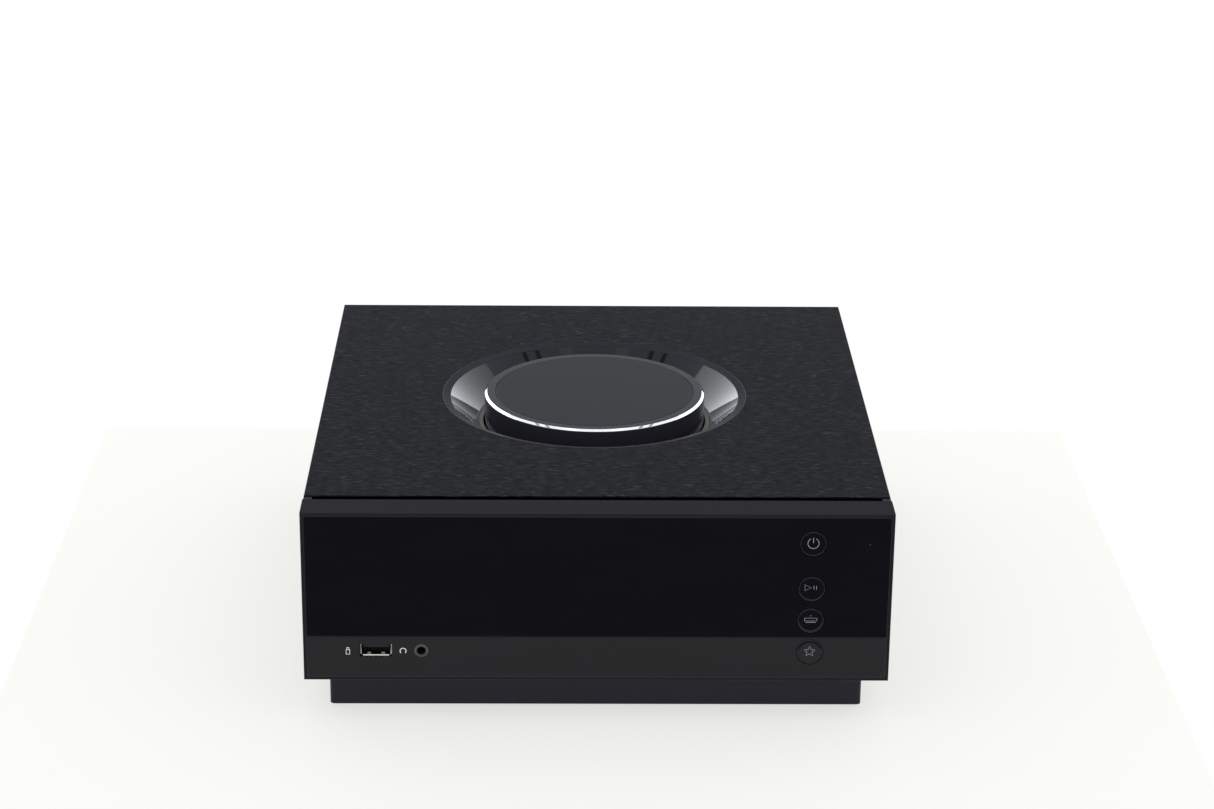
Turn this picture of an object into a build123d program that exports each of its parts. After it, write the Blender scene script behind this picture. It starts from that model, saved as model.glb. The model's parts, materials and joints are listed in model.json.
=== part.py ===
from build123d import *
import os

# Desktop network audio player: an aluminium case on a recessed plinth, a glass front with four
# keys, a USB socket and a headphone socket, and a large rotary volume dial sunk in the top.
# Millimetres. +Z is up and the front faces -Y. The origin is on the table, under the middle.

# ---- case ----
WIDTH = 245.0              # across the front panel
DEPTH = 265.0              # front of the panel to the rear edge of the cover
CASE_TOP = 94.6            # table to the top of the cover
CASE_BOTTOM = 18.7         # table to the underside of the case
COVER_INSET = 0.3          # the cover is this much narrower than the panel, each side
COVER_THICKNESS = 3.0
COVER_EDGE = 0.3           # chamfer round the top face
TRAY_THICKNESS = 1.5
TRAY_INSET = 0.6           # the tray stops this far inside the heat sinks' fin tips
SINK_DEPTH = 19.0          # fin tips to the inner face of a heat sink
SINK_BASE = 5.0            # solid back of a heat sink
FIN_THICKNESS = 2.6
FIN_PITCH = 7.0            # wanted distance between fins, rounded to fill the length
POST_SIZE = 8.0            # square corner posts that the panels are screwed to

# ---- plinth and feet ----
PLINTH_SIDE_SETBACK = 9.5
PLINTH_END_SETBACK = 13.6
PLINTH_WALL = 3.0
PLINTH_CORNER = 2.0
FOOT_STAND = 1.0           # feet below the plinth
FOOT_RADIUS = 11.0
FOOT_RECESS = 1.5
FOOT_FROM_EDGE = 19.0
BOSS_RADIUS = 4.5
BOSS_FROM_FOOT = 24.0

# ---- front panel ----
PANEL_THICKNESS = 15.4
PANEL_DROP = 0.3           # top of the panel below the top of the cover
PANEL_GAP = 2.8            # shadow gap between the panel and the cover
PANEL_EDGE = 0.35
RIM_SIDE = 1.2             # bezel left showing beside the glass
RIM_TOP = 1.2              # and above and below it
BEZEL_WALL = 3.0
GLASS_THICKNESS = 2.0
GLASS_INSET = 0.2
GLASS_CLEARANCE = 0.1
LEDGE_WIDTH = 5.0          # shelf behind the edge of the glass
LEDGE_THICKNESS = 2.5
FRAME_DROP = 5.0           # depth of the shadow gap
EAR_WIDTH = 3.5            # the gap is closed this far in from each side
EAR_DROP = 0.2

# ---- keys ----
KEY_RADIUS = 5.45
KEY_GAP = 0.3              # ring of clearance in the glass
KEY_FROM_SIDE = 33.5
KEY_FROM_TOP = 13.2        # the power key
KEY_HEIGHTS = {"play_key": 42.0, "input_key": 27.6, "favourite_key": 13.3}
KEY_FLANGE = 1.1           # how far the flange stands out past the cap
KEY_FLANGE_THICKNESS = 0.8
KEY_STOP_GAP = 0.05
KEY_TRAVEL = 0.6
STEM_RADIUS = 2.0
RUNNING_CLEARANCE = 0.05
GUIDE_THICKNESS = 2.0
GUIDE_MARGIN = 3.0
SWITCH_SIZE = 6.0
SWITCH_BODY = 2.5
SWITCH_PLUNGER_RADIUS = 1.75
SWITCH_PLUNGER = 0.6

# ---- behind the glass ----
BOARD_THICKNESS = 1.6
FRONT_BOARD_SETBACK = 11.0
FRONT_BOARD_GAP = 1.3      # board edge to the bezel's walls
SCREEN_SIDE_CLEARANCE = 11.8  # screen to the headphone socket or the key guide, whichever is nearer
SCREEN_HEIGHT = 60.0
SCREEN_THICKNESS = 3.5
BRACKET_THICKNESS = 1.0
BRACKET_LEG = 4.0
BOSS_BLOCK = 5.0

# ---- front sockets ----
SOCKET_HEIGHT = 13.5       # socket centres above the underside of the case
USB_FROM_SIDE = 30.3
JACK_FROM_SIDE = 49.2
USB_WIDTH = 13.2
USB_HEIGHT = 5.7
USB_LENGTH = 14.2
USB_WALL = 0.35
USB_TONGUE_WIDTH = 11.1
USB_TONGUE_THICKNESS = 1.84
USB_TONGUE_RAISE = 0.7     # tongue centre above the socket centre
USB_TONGUE_LENGTH = 9.5
JACK_NOSE_RADIUS = 3.0
JACK_BORE_RADIUS = 1.75
JACK_LENGTH = 14.0
JACK_NOSE_LENGTH = 4.0
JACK_BODY_WIDTH = 9.0
JACK_BODY_RISE = 3.5       # body above the bore's axis
SOCKET_CLEARANCE = 0.1

# ---- rear panel and its sockets ----
REAR_RECESS = 12.0         # rear panel inside the end of the cover
REAR_THICKNESS = 2.0
SOCKET_MARGIN = 9.0        # sockets to the heat sinks' inner faces
PHONO_WIDTH = 12.0
PHONO_SHELL_RADIUS = 4.15
PHONO_SHELL_WALL = 0.4
PHONO_BORE_RADIUS = 1.6
PHONO_REACH = 9.0          # shell outside the panel
PHONO_BODY_DEPTH = 12.0
PHONO_AXIS_RISE = 8.0      # axis above the main board
OPTICAL_WIDTH = 11.0
OPTICAL_DEPTH = 14.0
OPTICAL_MOUTH = 8.4
OPTICAL_CAVITY = 10.0
OPTICAL_LENS_RADIUS = 1.2
OPTICAL_LENS_LENGTH = 1.5
SHUTTER_THICKNESS = 0.8
SHUTTER_GAP = 0.25
SHUTTER_PIN_RADIUS = 0.4
SHUTTER_PIN_LENGTH = 0.6
HDMI_WIDTH = 15.2
HDMI_HEIGHT = 6.0
HDMI_LENGTH = 11.0
HDMI_CHAMFER = 1.4
HDMI_TONGUE_WIDTH = 11.2
HDMI_TONGUE_INSET = 2.0
HDMI_TONGUE_RAISE = 0.4
ETHERNET_WIDTH = 16.5
ETHERNET_HEIGHT = 13.6
ETHERNET_LENGTH = 17.0
ETHERNET_MOUTH = (11.8, 8.0)
ETHERNET_CAVITY = 13.0
ETHERNET_RAISE = 1.0       # mouth above the middle of the can
ETHERNET_LATCH_DEPTH = 2.0
AERIAL_RADIUS = 3.1
AERIAL_BORE_RADIUS = 0.7
AERIAL_REACH = 8.0
AERIAL_INSIDE = 5.0
AERIAL_NUT = 8.0           # across the flats
AERIAL_NUT_THICKNESS = 2.2
UPPER_ROW_HEIGHT = 46.0    # above the tray
INLET_HEIGHT = 35.5        # mains inlet centre above the tray
INLET_FLANGE = (31.0, 23.0)
INLET_BODY = (27.6, 19.8)
INLET_CAVITY = (24.2, 16.4)
INLET_DEPTH = 20.0
INLET_CAVITY_DEPTH = 17.5
FLANGE_THICKNESS = 2.0
PIN_SECTION = (2.0, 4.0)
PIN_LENGTH = 13.5
PIN_SPACING = 7.0          # live and neutral pins each side of the middle
PIN_OFFSET = 2.0
ROCKER_ABOVE_INLET = 21.5
ROCKER_FLANGE = (22.0, 15.0)
ROCKER_BODY = (19.6, 13.0)
ROCKER_BODY_DEPTH = 14.0
ROCKER_RADIUS = 8.4
ROCKER_HEIGHT = 10.4
ROCKER_GAP = 0.3
ROCKER_PIVOT_DEPTH = 2.0   # pivot inside the rear panel's outer face
ROCKER_TILT = 10.0
ROCKER_RISE = 4.6          # ends of the rocker's face from the pivot
ROCKER_DISH = 1.4
ROCKER_ROOT = 3.6
ROCKER_PIN_RADIUS = 1.2
ROCKER_PIN_LENGTH = 0.9
SPEAKER_PITCH = 14.0
SPEAKER_COUNT = 4
SPEAKER_BLOCK_HEIGHT = 20.0
SPEAKER_BLOCK_DEPTH = 16.0
SPEAKER_FLANGE_MARGIN = 2.0
SPEAKER_FLANGE_THICKNESS = 3.0
SPEAKER_SLEEVE_RADIUS = 4.0
SPEAKER_BORE_RADIUS = 2.0
SPEAKER_BORE_LENGTH = 16.0
SPEAKER_SLEEVE_PROUD = 2.0

# ---- inside ----
BOARD_RISE = 6.0           # underside of the boards above the tray
BOARD_MARGIN = 3.0         # boards to the heat sinks and panels
PILLAR_RADIUS = 3.0
PILLAR_FROM_EDGE = 14.0
TOROID_RADIUS = 45.0
TOROID_HOLE = 14.0
TOROID_HEIGHT = 40.0
TOROID_CLEARANCE = 4.0
CLAMP_RADIUS = 30.0
CLAMP_THICKNESS = 2.0
BOLT_RADIUS = 4.0
CAPACITOR_RADIUS = 12.0
CAPACITOR_HEIGHT = 34.0
CAPACITOR_PITCH = 27.0
TRANSISTOR_WIDTH = 16.0
TRANSISTOR_HEIGHT = 20.0
TRANSISTOR_THICKNESS = 5.0
TRANSISTOR_PITCH = 22.0
TRANSISTOR_LEG = 1.2
TRANSISTOR_COUNT = 3
CAN_SIZE = (52.0, 34.0, 6.0)
RIBBON_WIDTH = 12.0
RIBBON_THICKNESS = 0.4
RIBBON_BEND = 6.0
RIBBON_LANDING = 6.0       # from the main board's front edge
RIBBON_CLEARANCE = 1.0
FRONT_RIBBON_RISE = 14.0   # above the boards, under the dial's bearing

# ---- screws ----
SCREW_RADIUS = 1.5
SCREW_HEAD_RADIUS = 2.9
SCREW_HEAD_HEIGHT = 1.8
SCREW_SOCKET_RADIUS = 1.1
SCREW_LENGTH = 9.0

# ---- volume dial, heights counted down from the top of the cover ----
DIAL_RADIUS = 50.0
DIAL_PROUD = 1.2           # dial above the cover
DIAL_SKIRT = 13.4          # bottom edge of the skirt
DIAL_WALL = 2.5
BEVEL = 1.1                # width of the bright bevel round the top of the dial
BEVEL_DROP = 1.0
BEVEL_BAND = 0.2           # bright band below the bevel
RIM_WIDTH = 3.75           # black rim between the bevel and the cap
CAP_GAP = 0.25
CAP_THICKNESS = 2.0
DIAL_FLOOR = 3.0           # dial body under the cap
HUB_RADIUS = 12.0
HUB_BOTTOM = 20.0
SKIRT_FLARE = 0.4
LIGHT_GAP = 0.6            # skirt to light guide
LIGHT_WIDTH = 2.0
LIGHT_TOP = 12.5
LIGHT_HEIGHT = 4.0
DISH_LAND = 0.9            # flat at the foot of the dish
DISH_SLOPE_WIDTH = 11.9
DISH_WALL = 1.6
DISH_TOP = 0.7
TRIM_WIDTH = 3.6
TRIM_LAND = 0.5
TRIM_THICKNESS = 4.5
FLANGE_WIDTH = 6.0
CARRIER_WALL = 2.0
CARRIER_FLOOR = 24.0
HOUSING_WALL = 4.0
SHAFT_RADIUS = 5.0
BEARING_RADIUS = 13.0
BEARING_WIDTH = 8.0
BALL_RADIUS = 2.35
BALL_COUNT = 7
RACE_GROOVE = 2.42
RACE_WALL = 2.6
BEARING_TOP = 26.0
CLIP_THICKNESS = 1.0
ENCODER_RADIUS = 22.0
ENCODER_BORE = 13.6
ENCODER_GAP = 1.8
ENCODER_RING_THICKNESS = 2.0
ENCODER_CHIP = (6.0, 5.0, 1.0)
HOUSING_BOTTOM = 36.0
LIGHT_BOARD_POST = 2.5
SHAFT_BOTTOM = 42.0

# ---- planes and centres that the pieces share ----
FRONT = -DEPTH / 2
REAR = DEPTH / 2
PANEL_BACK = FRONT + PANEL_THICKNESS
COVER_FRONT = PANEL_BACK + PANEL_GAP
COVER_HALF = WIDTH / 2 - COVER_INSET
COVER_UNDER = CASE_TOP - COVER_THICKNESS
INNER_HALF = COVER_HALF - SINK_DEPTH
TRAY_TOP = CASE_BOTTOM + TRAY_THICKNESS
REAR_FACE = REAR - REAR_RECESS
REAR_INNER = REAR_FACE - REAR_THICKNESS
GLASS_FRONT = FRONT + GLASS_INSET
GLASS_BACK = GLASS_FRONT + GLASS_THICKNESS
GLASS_HALF = WIDTH / 2 - RIM_SIDE
GLASS_BOTTOM = CASE_BOTTOM + RIM_TOP
PANEL_TOP = CASE_TOP - PANEL_DROP
GLASS_TOP = PANEL_TOP - RIM_TOP
LEDGE_BACK = GLASS_BACK + LEDGE_THICKNESS
KEY_X = WIDTH / 2 - KEY_FROM_SIDE
KEYS = {"power_key": PANEL_TOP - KEY_FROM_TOP}
KEYS.update({name: CASE_BOTTOM + height for name, height in KEY_HEIGHTS.items()})
FRONT_BOARD_Y = FRONT + FRONT_BOARD_SETBACK
KEY_GUIDE_REACH = KEY_RADIUS + KEY_FLANGE + GUIDE_MARGIN
USB_X = USB_FROM_SIDE - WIDTH / 2
JACK_X = JACK_FROM_SIDE - WIDTH / 2
SCREEN_ROOM = min(-JACK_X - JACK_BODY_WIDTH / 2, KEY_X - KEY_GUIDE_REACH)
SCREEN_WIDTH = 2 * (SCREEN_ROOM - SCREEN_SIDE_CLEARANCE)
SCREEN_Z = (CASE_BOTTOM + PANEL_TOP) / 2
SOCKET_Z = CASE_BOTTOM + SOCKET_HEIGHT
SOCKET_BOARD_TOP = SOCKET_Z - USB_HEIGHT / 2
DIAL_Y = (COVER_FRONT + REAR) / 2
BOARD_BOTTOM = TRAY_TOP + BOARD_RISE
BOARD_TOP = BOARD_BOTTOM + BOARD_THICKNESS
TOROID_X = -(INNER_HALF - TOROID_CLEARANCE - TOROID_RADIUS)
TOROID_Y = COVER_FRONT + TOROID_CLEARANCE + POST_SIZE + TOROID_RADIUS
MAIN_BOARD_FRONT = TOROID_Y + TOROID_RADIUS + TOROID_CLEARANCE
BOARD_HALF = INNER_HALF - BOARD_MARGIN
PLINTH_HALF = WIDTH / 2 - PLINTH_SIDE_SETBACK
PLINTH_FRONT = FRONT + PLINTH_END_SETBACK
PLINTH_REAR = REAR - PLINTH_END_SETBACK
FOOT_X = PLINTH_HALF - FOOT_FROM_EDGE
FOOT_Y = (PLINTH_FRONT + FOOT_FROM_EDGE, PLINTH_REAR - FOOT_FROM_EDGE)
INLET_Z = TRAY_TOP + INLET_HEIGHT
ROCKER_Z = INLET_Z + ROCKER_ABOVE_INLET
UPPER_Z = TRAY_TOP + UPPER_ROW_HEIGHT
SPEAKER_BLOCK_WIDTH = SPEAKER_PITCH * SPEAKER_COUNT
DISH_FOOT_RADIUS = DIAL_RADIUS + LIGHT_GAP + LIGHT_WIDTH + DISH_LAND
DISH_RIM_RADIUS = DISH_FOOT_RADIUS + DISH_SLOPE_WIDTH
TRIM_RADIUS = DISH_RIM_RADIUS + TRIM_WIDTH
CAP_RADIUS = DIAL_RADIUS - BEVEL - RIM_WIDTH - CAP_GAP


def spread(widths, half):
    """Centres of things of these widths, spaced evenly between -half and +half."""
    gap = (2 * half - sum(widths)) / (len(widths) - 1)
    centres = []
    left = -half
    for width in widths:
        centres.append(left + width / 2)
        left += width + gap
    return centres


SOCKET_HALF = INNER_HALF - SOCKET_MARGIN
LOWER_WIDTHS = [PHONO_WIDTH] * 5 + [OPTICAL_WIDTH] * 2 + [HDMI_WIDTH, ETHERNET_WIDTH, USB_WIDTH]
LOWER_CENTRES = spread(LOWER_WIDTHS, SOCKET_HALF)
PHONO_X = LOWER_CENTRES[:5]
OPTICAL_X = LOWER_CENTRES[5:7]
HDMI_X, ETHERNET_X, REAR_USB_X = LOWER_CENTRES[7:]
UPPER_WIDTHS = [INLET_FLANGE[0], SPEAKER_BLOCK_WIDTH, AERIAL_NUT, AERIAL_NUT]
INLET_X, SPEAKER_X, *AERIAL_X = spread(UPPER_WIDTHS, SOCKET_HALF)
SPEAKER_XS = [SPEAKER_X + SPEAKER_PITCH * (i - (SPEAKER_COUNT - 1) / 2) for i in range(SPEAKER_COUNT)]
PHONO_Z = BOARD_TOP + PHONO_AXIS_RISE
OPTICAL_Z = BOARD_TOP + OPTICAL_WIDTH / 2
HDMI_Z = BOARD_TOP + HDMI_HEIGHT / 2
ETHERNET_Z = BOARD_TOP + ETHERNET_HEIGHT / 2
REAR_USB_Z = BOARD_TOP + USB_HEIGHT / 2
REAR_SCREWS = [(x, z) for x in (-1, 1) for z in (TRAY_TOP + POST_SIZE, COVER_UNDER - POST_SIZE)]
REAR_SCREWS = [(side * (INNER_HALF - POST_SIZE / 2), z) for side, z in REAR_SCREWS]
PLINTH_SCREWS = [(side * FOOT_X, y) for side in (-1, 1)
                 for y in (FOOT_Y[0] + BOSS_FROM_FOOT, FOOT_Y[1] - BOSS_FROM_FOOT)]


# ---- shapes used again and again ----

def block(x, y, z):
    """A box from its low and high limits along each axis."""
    centre = Pos((x[0] + x[1]) / 2, (y[0] + y[1]) / 2, (z[0] + z[1]) / 2)
    return centre * Box(x[1] - x[0], y[1] - y[0], z[1] - z[0])


def around(centre, size):
    """Low and high limits of a stretch of this size about a centre."""
    return (centre - size / 2, centre + size / 2)


def lying(radius, x, z, y):
    """A cylinder along Y."""
    return Pos(x, (y[0] + y[1]) / 2, z) * Rot(90, 0, 0) * Cylinder(radius, y[1] - y[0])


def upright(radius, x, y, z):
    """A cylinder along Z."""
    return Pos(x, y, (z[0] + z[1]) / 2) * Cylinder(radius, z[1] - z[0])


def turned(*outline):
    """A ring or disc about the dial's axis, from (radius, depth below the cover) points."""
    points = [(radius, CASE_TOP - depth) for radius, depth in outline]
    section = make_face(Plane.XZ * Polyline(*points, close=True))
    return Pos(0, DIAL_Y, 0) * revolve(section, Axis.Z)


def write(name, *shapes):
    """Writes one node. A node of several shapes keeps them as separate solids."""
    export_step(shapes[0] if len(shapes) == 1 else Compound(list(shapes)), f"parts/{name}.step")


# ---- case ----

def top_cover():
    plate = block((-COVER_HALF, COVER_HALF), (COVER_FRONT, REAR), (COVER_UNDER, CASE_TOP))
    plate = chamfer(plate.faces().sort_by(Axis.Z)[-1].edges(), COVER_EDGE)
    return plate - upright(TRIM_RADIUS, 0, DIAL_Y, (COVER_UNDER - 1, CASE_TOP + 1))


def heat_sink(side):
    length = REAR - COVER_FRONT
    gaps = round((length - FIN_THICKNESS) / FIN_PITCH)
    pitch = (length - FIN_THICKNESS) / gaps
    fin_length = SINK_DEPTH - SINK_BASE / 2
    fin_x = side * (COVER_HALF - fin_length / 2)
    base = Pos(side * (INNER_HALF + SINK_BASE / 2), (COVER_FRONT + REAR) / 2) * Rectangle(SINK_BASE, length)
    first = COVER_FRONT + FIN_THICKNESS / 2
    tip = FIN_THICKNESS * 0.4
    fins = [Pos(fin_x, first + i * pitch) * RectangleRounded(fin_length, FIN_THICKNESS, tip)
            for i in range(gaps + 1)]
    return Pos(0, 0, TRAY_TOP) * extrude(base + fins, COVER_UNDER - TRAY_TOP)


def base_tray():
    half = COVER_HALF - TRAY_INSET
    tray = block((-half, half), (COVER_FRONT, REAR - TRAY_INSET), (CASE_BOTTOM, TRAY_TOP))
    for x, y in PLINTH_SCREWS:
        tray -= upright(SCREW_RADIUS, x, y, (CASE_BOTTOM - 1, TRAY_TOP + 1))
    return tray


def corner_posts():
    reach = 2 * SCREW_LENGTH
    posts = []
    for side in (-1, 1):
        x = sorted((side * INNER_HALF, side * (INNER_HALF - POST_SIZE)))
        for y in ((COVER_FRONT, COVER_FRONT + POST_SIZE), (REAR_INNER - POST_SIZE, REAR_INNER)):
            post = block(x, y, (TRAY_TOP, COVER_UNDER))
            for screw_x, z in REAR_SCREWS:
                post -= lying(SCREW_RADIUS, screw_x, z, (REAR_FACE - SCREW_LENGTH, REAR_FACE + reach))
            posts.append(post)
    return posts


def plinth():
    bottom = FOOT_STAND
    outer = block((-PLINTH_HALF, PLINTH_HALF), (PLINTH_FRONT, PLINTH_REAR), (bottom, CASE_BOTTOM))
    outer = fillet(outer.edges().filter_by(Axis.Z), PLINTH_CORNER)
    inside = PLINTH_HALF - PLINTH_WALL
    shell = outer - block((-inside, inside), (PLINTH_FRONT + PLINTH_WALL, PLINTH_REAR - PLINTH_WALL),
                          (bottom + PLINTH_WALL, CASE_BOTTOM + 1))
    for x, y in PLINTH_SCREWS:
        shell += upright(BOSS_RADIUS, x, y, (bottom, CASE_BOTTOM))
        shell -= upright(SCREW_RADIUS, x, y, (bottom - 1, CASE_BOTTOM + 1))
        shell -= upright(SCREW_HEAD_RADIUS, x, y, (bottom - 1, bottom + SCREW_HEAD_HEIGHT))
    for x, y in foot_places():
        shell -= upright(FOOT_RADIUS, x, y, (bottom - 1, bottom + FOOT_RECESS))
    slot_length = PLINTH_HALF / 2
    for side in (-1, 1):
        for i in range(-4, 5):
            slot = Pos(side * slot_length, DIAL_Y + i * 12, bottom) * SlotOverall(slot_length, 4)
            shell -= extrude(slot, 2 * PLINTH_WALL)
    return shell


def foot_places():
    return [(side * FOOT_X, y) for side in (-1, 1) for y in FOOT_Y]


def foot(x, y):
    pad = upright(FOOT_RADIUS, x, y, (0, FOOT_STAND + FOOT_RECESS))
    return chamfer(pad.edges().sort_by(Axis.Z)[0], FOOT_STAND / 3)


# ---- screws ----

def plinth_screw(x, y):
    """A socket screw driven up through the plinth into the tray, its head sunk flush."""
    seat = FOOT_STAND + SCREW_HEAD_HEIGHT
    head = upright(SCREW_HEAD_RADIUS, x, y, (FOOT_STAND, seat))
    shank = upright(SCREW_RADIUS, x, y, (seat, TRAY_TOP))
    return head + shank - upright(SCREW_SOCKET_RADIUS, x, y, (FOOT_STAND - 1, seat - SCREW_HEAD_HEIGHT / 2))


def rear_screw(x, z):
    head = lying(SCREW_HEAD_RADIUS, x, z, (REAR_FACE, REAR_FACE + SCREW_HEAD_HEIGHT))
    head = fillet(head.edges().sort_by(Axis.Y)[-1], SCREW_HEAD_HEIGHT / 2)
    shank = lying(SCREW_RADIUS, x, z, (REAR_FACE - SCREW_LENGTH, REAR_FACE))
    recess = RegularPolygon(SCREW_SOCKET_RADIUS, 6)
    start = Plane(origin=(x, REAR_FACE + SCREW_HEAD_HEIGHT / 2, z), z_dir=(0, 1, 0))
    return head + shank - extrude(start * recess, SCREW_HEAD_HEIGHT)


# ---- front panel ----

def front_bezel():
    half = WIDTH / 2
    shell = block((-half, half), (FRONT, PANEL_BACK), (CASE_BOTTOM, PANEL_TOP))
    long_edges = shell.edges().filter_by(Axis.X) + shell.edges().filter_by(Axis.Z)
    shell = chamfer(long_edges, PANEL_EDGE)
    shell -= block((-GLASS_HALF, GLASS_HALF), (FRONT - 1, GLASS_BACK), (GLASS_BOTTOM, GLASS_TOP))
    window = GLASS_HALF - LEDGE_WIDTH
    shell -= block((-window, window), (GLASS_BACK - 1, LEDGE_BACK + 1),
                   (GLASS_BOTTOM + LEDGE_WIDTH, GLASS_TOP - LEDGE_WIDTH))
    cavity = half - BEZEL_WALL
    low = CASE_BOTTOM + BEZEL_WALL
    high = PANEL_TOP - BEZEL_WALL
    shell -= block((-cavity, cavity), (LEDGE_BACK, PANEL_BACK + 1), (low, high))
    for x in front_board_ends():
        for z in ((low, GLASS_BOTTOM + LEDGE_WIDTH), (GLASS_TOP - LEDGE_WIDTH, high)):
            shell += block(x, (LEDGE_BACK, FRONT_BOARD_Y), z)
    for x in (USB_X, JACK_X):
        shell += block(around(x, BOSS_BLOCK), (LEDGE_BACK, FRONT_BOARD_Y),
                       (low, SOCKET_BOARD_TOP - BOARD_THICKNESS))
    return shell


def front_board_ends():
    """Where the front board is held, near its two ends."""
    left = -SCREEN_WIDTH / 2
    right = WIDTH / 2 - BEZEL_WALL - FRONT_BOARD_GAP
    return ((left, left + BOSS_BLOCK), (right - BOSS_BLOCK, right))


def front_glass():
    half = GLASS_HALF - GLASS_CLEARANCE
    sheet = block((-half, half), (GLASS_FRONT, GLASS_BACK),
                  (GLASS_BOTTOM + GLASS_CLEARANCE, GLASS_TOP - GLASS_CLEARANCE))
    through = (FRONT - 1, GLASS_BACK + 1)
    for z in KEYS.values():
        sheet -= lying(KEY_RADIUS + KEY_GAP, KEY_X, z, through)
    sheet -= lying(JACK_NOSE_RADIUS + SOCKET_CLEARANCE, JACK_X, SOCKET_Z, through)
    return sheet - block(around(USB_X, USB_WIDTH + 2 * SOCKET_CLEARANCE), through,
                         around(SOCKET_Z, USB_HEIGHT + 2 * SOCKET_CLEARANCE))


def front_frame():
    top = PANEL_TOP - FRAME_DROP
    gap = (PANEL_BACK, COVER_FRONT)
    plate = block((-COVER_HALF, COVER_HALF), gap, (CASE_BOTTOM, top))
    for side in (-1, 1):
        ear = sorted((side * COVER_HALF, side * (COVER_HALF - EAR_WIDTH)))
        plate += block(ear, gap, (CASE_BOTTOM, PANEL_TOP - EAR_DROP))
    window = INNER_HALF - POST_SIZE
    return plate - block((-window, window), (PANEL_BACK - 1, COVER_FRONT + 1),
                         (CASE_BOTTOM + BEZEL_WALL, top - BEZEL_WALL))


def key(z):
    flange_front = GLASS_BACK + KEY_STOP_GAP
    flange_back = flange_front + KEY_FLANGE_THICKNESS
    stem_end = FRONT_BOARD_Y - SWITCH_BODY - SWITCH_PLUNGER - KEY_TRAVEL - KEY_STOP_GAP
    cap = lying(KEY_RADIUS, KEY_X, z, (GLASS_FRONT, flange_front))
    cap = fillet(cap.edges().sort_by(Axis.Y)[0], KEY_GAP / 2)
    flange = lying(KEY_RADIUS + KEY_FLANGE, KEY_X, z, (flange_front, flange_back))
    return cap + flange + lying(STEM_RADIUS, KEY_X, z, (flange_back, stem_end))


def key_guide():
    """A plate behind the keys with a hole for each stem, on two feet that stand on the board."""
    front = GLASS_BACK + KEY_STOP_GAP + KEY_FLANGE_THICKNESS + KEY_TRAVEL + KEY_STOP_GAP
    back = front + GUIDE_THICKNESS
    reach = KEY_GUIDE_REACH
    low = min(KEYS.values()) - reach + GUIDE_MARGIN
    high = max(KEYS.values()) + reach - GUIDE_MARGIN
    across = around(KEY_X, 2 * reach)
    plate = block(across, (front, back), (low, high))
    for z in ((low, low + GUIDE_MARGIN), (high - GUIDE_MARGIN, high)):
        plate += block(across, (back, FRONT_BOARD_Y), z)
    for z in KEYS.values():
        plate -= lying(STEM_RADIUS + RUNNING_CLEARANCE, KEY_X, z, (front - 1, back + 1))
    return plate


def key_switch(z):
    body_front = FRONT_BOARD_Y - SWITCH_BODY
    body = block(around(KEY_X, SWITCH_SIZE), (body_front, FRONT_BOARD_Y), around(z, SWITCH_SIZE))
    return body + lying(SWITCH_PLUNGER_RADIUS, KEY_X, z, (body_front - SWITCH_PLUNGER, body_front))


def front_board():
    left = front_board_ends()[0][0]
    right = front_board_ends()[1][1]
    low = CASE_BOTTOM + BEZEL_WALL + FRONT_BOARD_GAP
    high = PANEL_TOP - BEZEL_WALL - FRONT_BOARD_GAP
    return block((left, right), (FRONT_BOARD_Y, FRONT_BOARD_Y + BOARD_THICKNESS), (low, high))


def display_screen():
    return block(around(0, SCREEN_WIDTH), (GLASS_BACK, GLASS_BACK + SCREEN_THICKNESS),
                 around(SCREEN_Z, SCREEN_HEIGHT))


def display_bracket():
    front = GLASS_BACK + SCREEN_THICKNESS
    back = front + BRACKET_THICKNESS
    bracket = block(around(0, SCREEN_WIDTH), (front, back), around(SCREEN_Z, SCREEN_HEIGHT))
    for x in (-1, 1):
        for z in (-1, 1):
            leg_x = x * (SCREEN_WIDTH - BRACKET_LEG) / 2
            leg_z = SCREEN_Z + z * (SCREEN_HEIGHT - BRACKET_LEG) / 2
            bracket += block(around(leg_x, BRACKET_LEG), (back, FRONT_BOARD_Y), around(leg_z, BRACKET_LEG))
    return bracket


# ---- USB, headphone and their board ----

def usb_shell(x, z, mouth, inward):
    """A socket's metal shell. Its mouth is at y = mouth and it runs inward, +1 or -1 along Y."""
    back = mouth + inward * USB_LENGTH
    shell = block(around(x, USB_WIDTH), sorted((mouth, back)), around(z, USB_HEIGHT))
    cavity = sorted((mouth - inward, back - inward))
    return shell - block(around(x, USB_WIDTH - 2 * USB_WALL), cavity, around(z, USB_HEIGHT - 2 * USB_WALL))


def usb_tongue(x, z, mouth, inward):
    back = mouth + inward * (USB_LENGTH - 1)
    tip = back - inward * USB_TONGUE_LENGTH
    return block(around(x, USB_TONGUE_WIDTH), sorted((tip, back)),
                 around(z + USB_TONGUE_RAISE, USB_TONGUE_THICKNESS))


def headphone_jack():
    mouth = GLASS_FRONT
    nose_end = mouth + JACK_NOSE_LENGTH
    nose = lying(JACK_NOSE_RADIUS, JACK_X, SOCKET_Z, (mouth, nose_end))
    body = block(around(JACK_X, JACK_BODY_WIDTH), (nose_end, mouth + JACK_LENGTH + 1),
                 (SOCKET_BOARD_TOP, SOCKET_Z + JACK_BODY_RISE))
    return nose + body - lying(JACK_BORE_RADIUS, JACK_X, SOCKET_Z, (mouth - 1, mouth + JACK_LENGTH))


def socket_board():
    margin = USB_WIDTH / 2 + BOARD_MARGIN
    return block((USB_X - margin, JACK_X + margin), (LEDGE_BACK, PANEL_BACK - 1),
                 (SOCKET_BOARD_TOP - BOARD_THICKNESS, SOCKET_BOARD_TOP))


# ---- rear panel and its sockets ----

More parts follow.
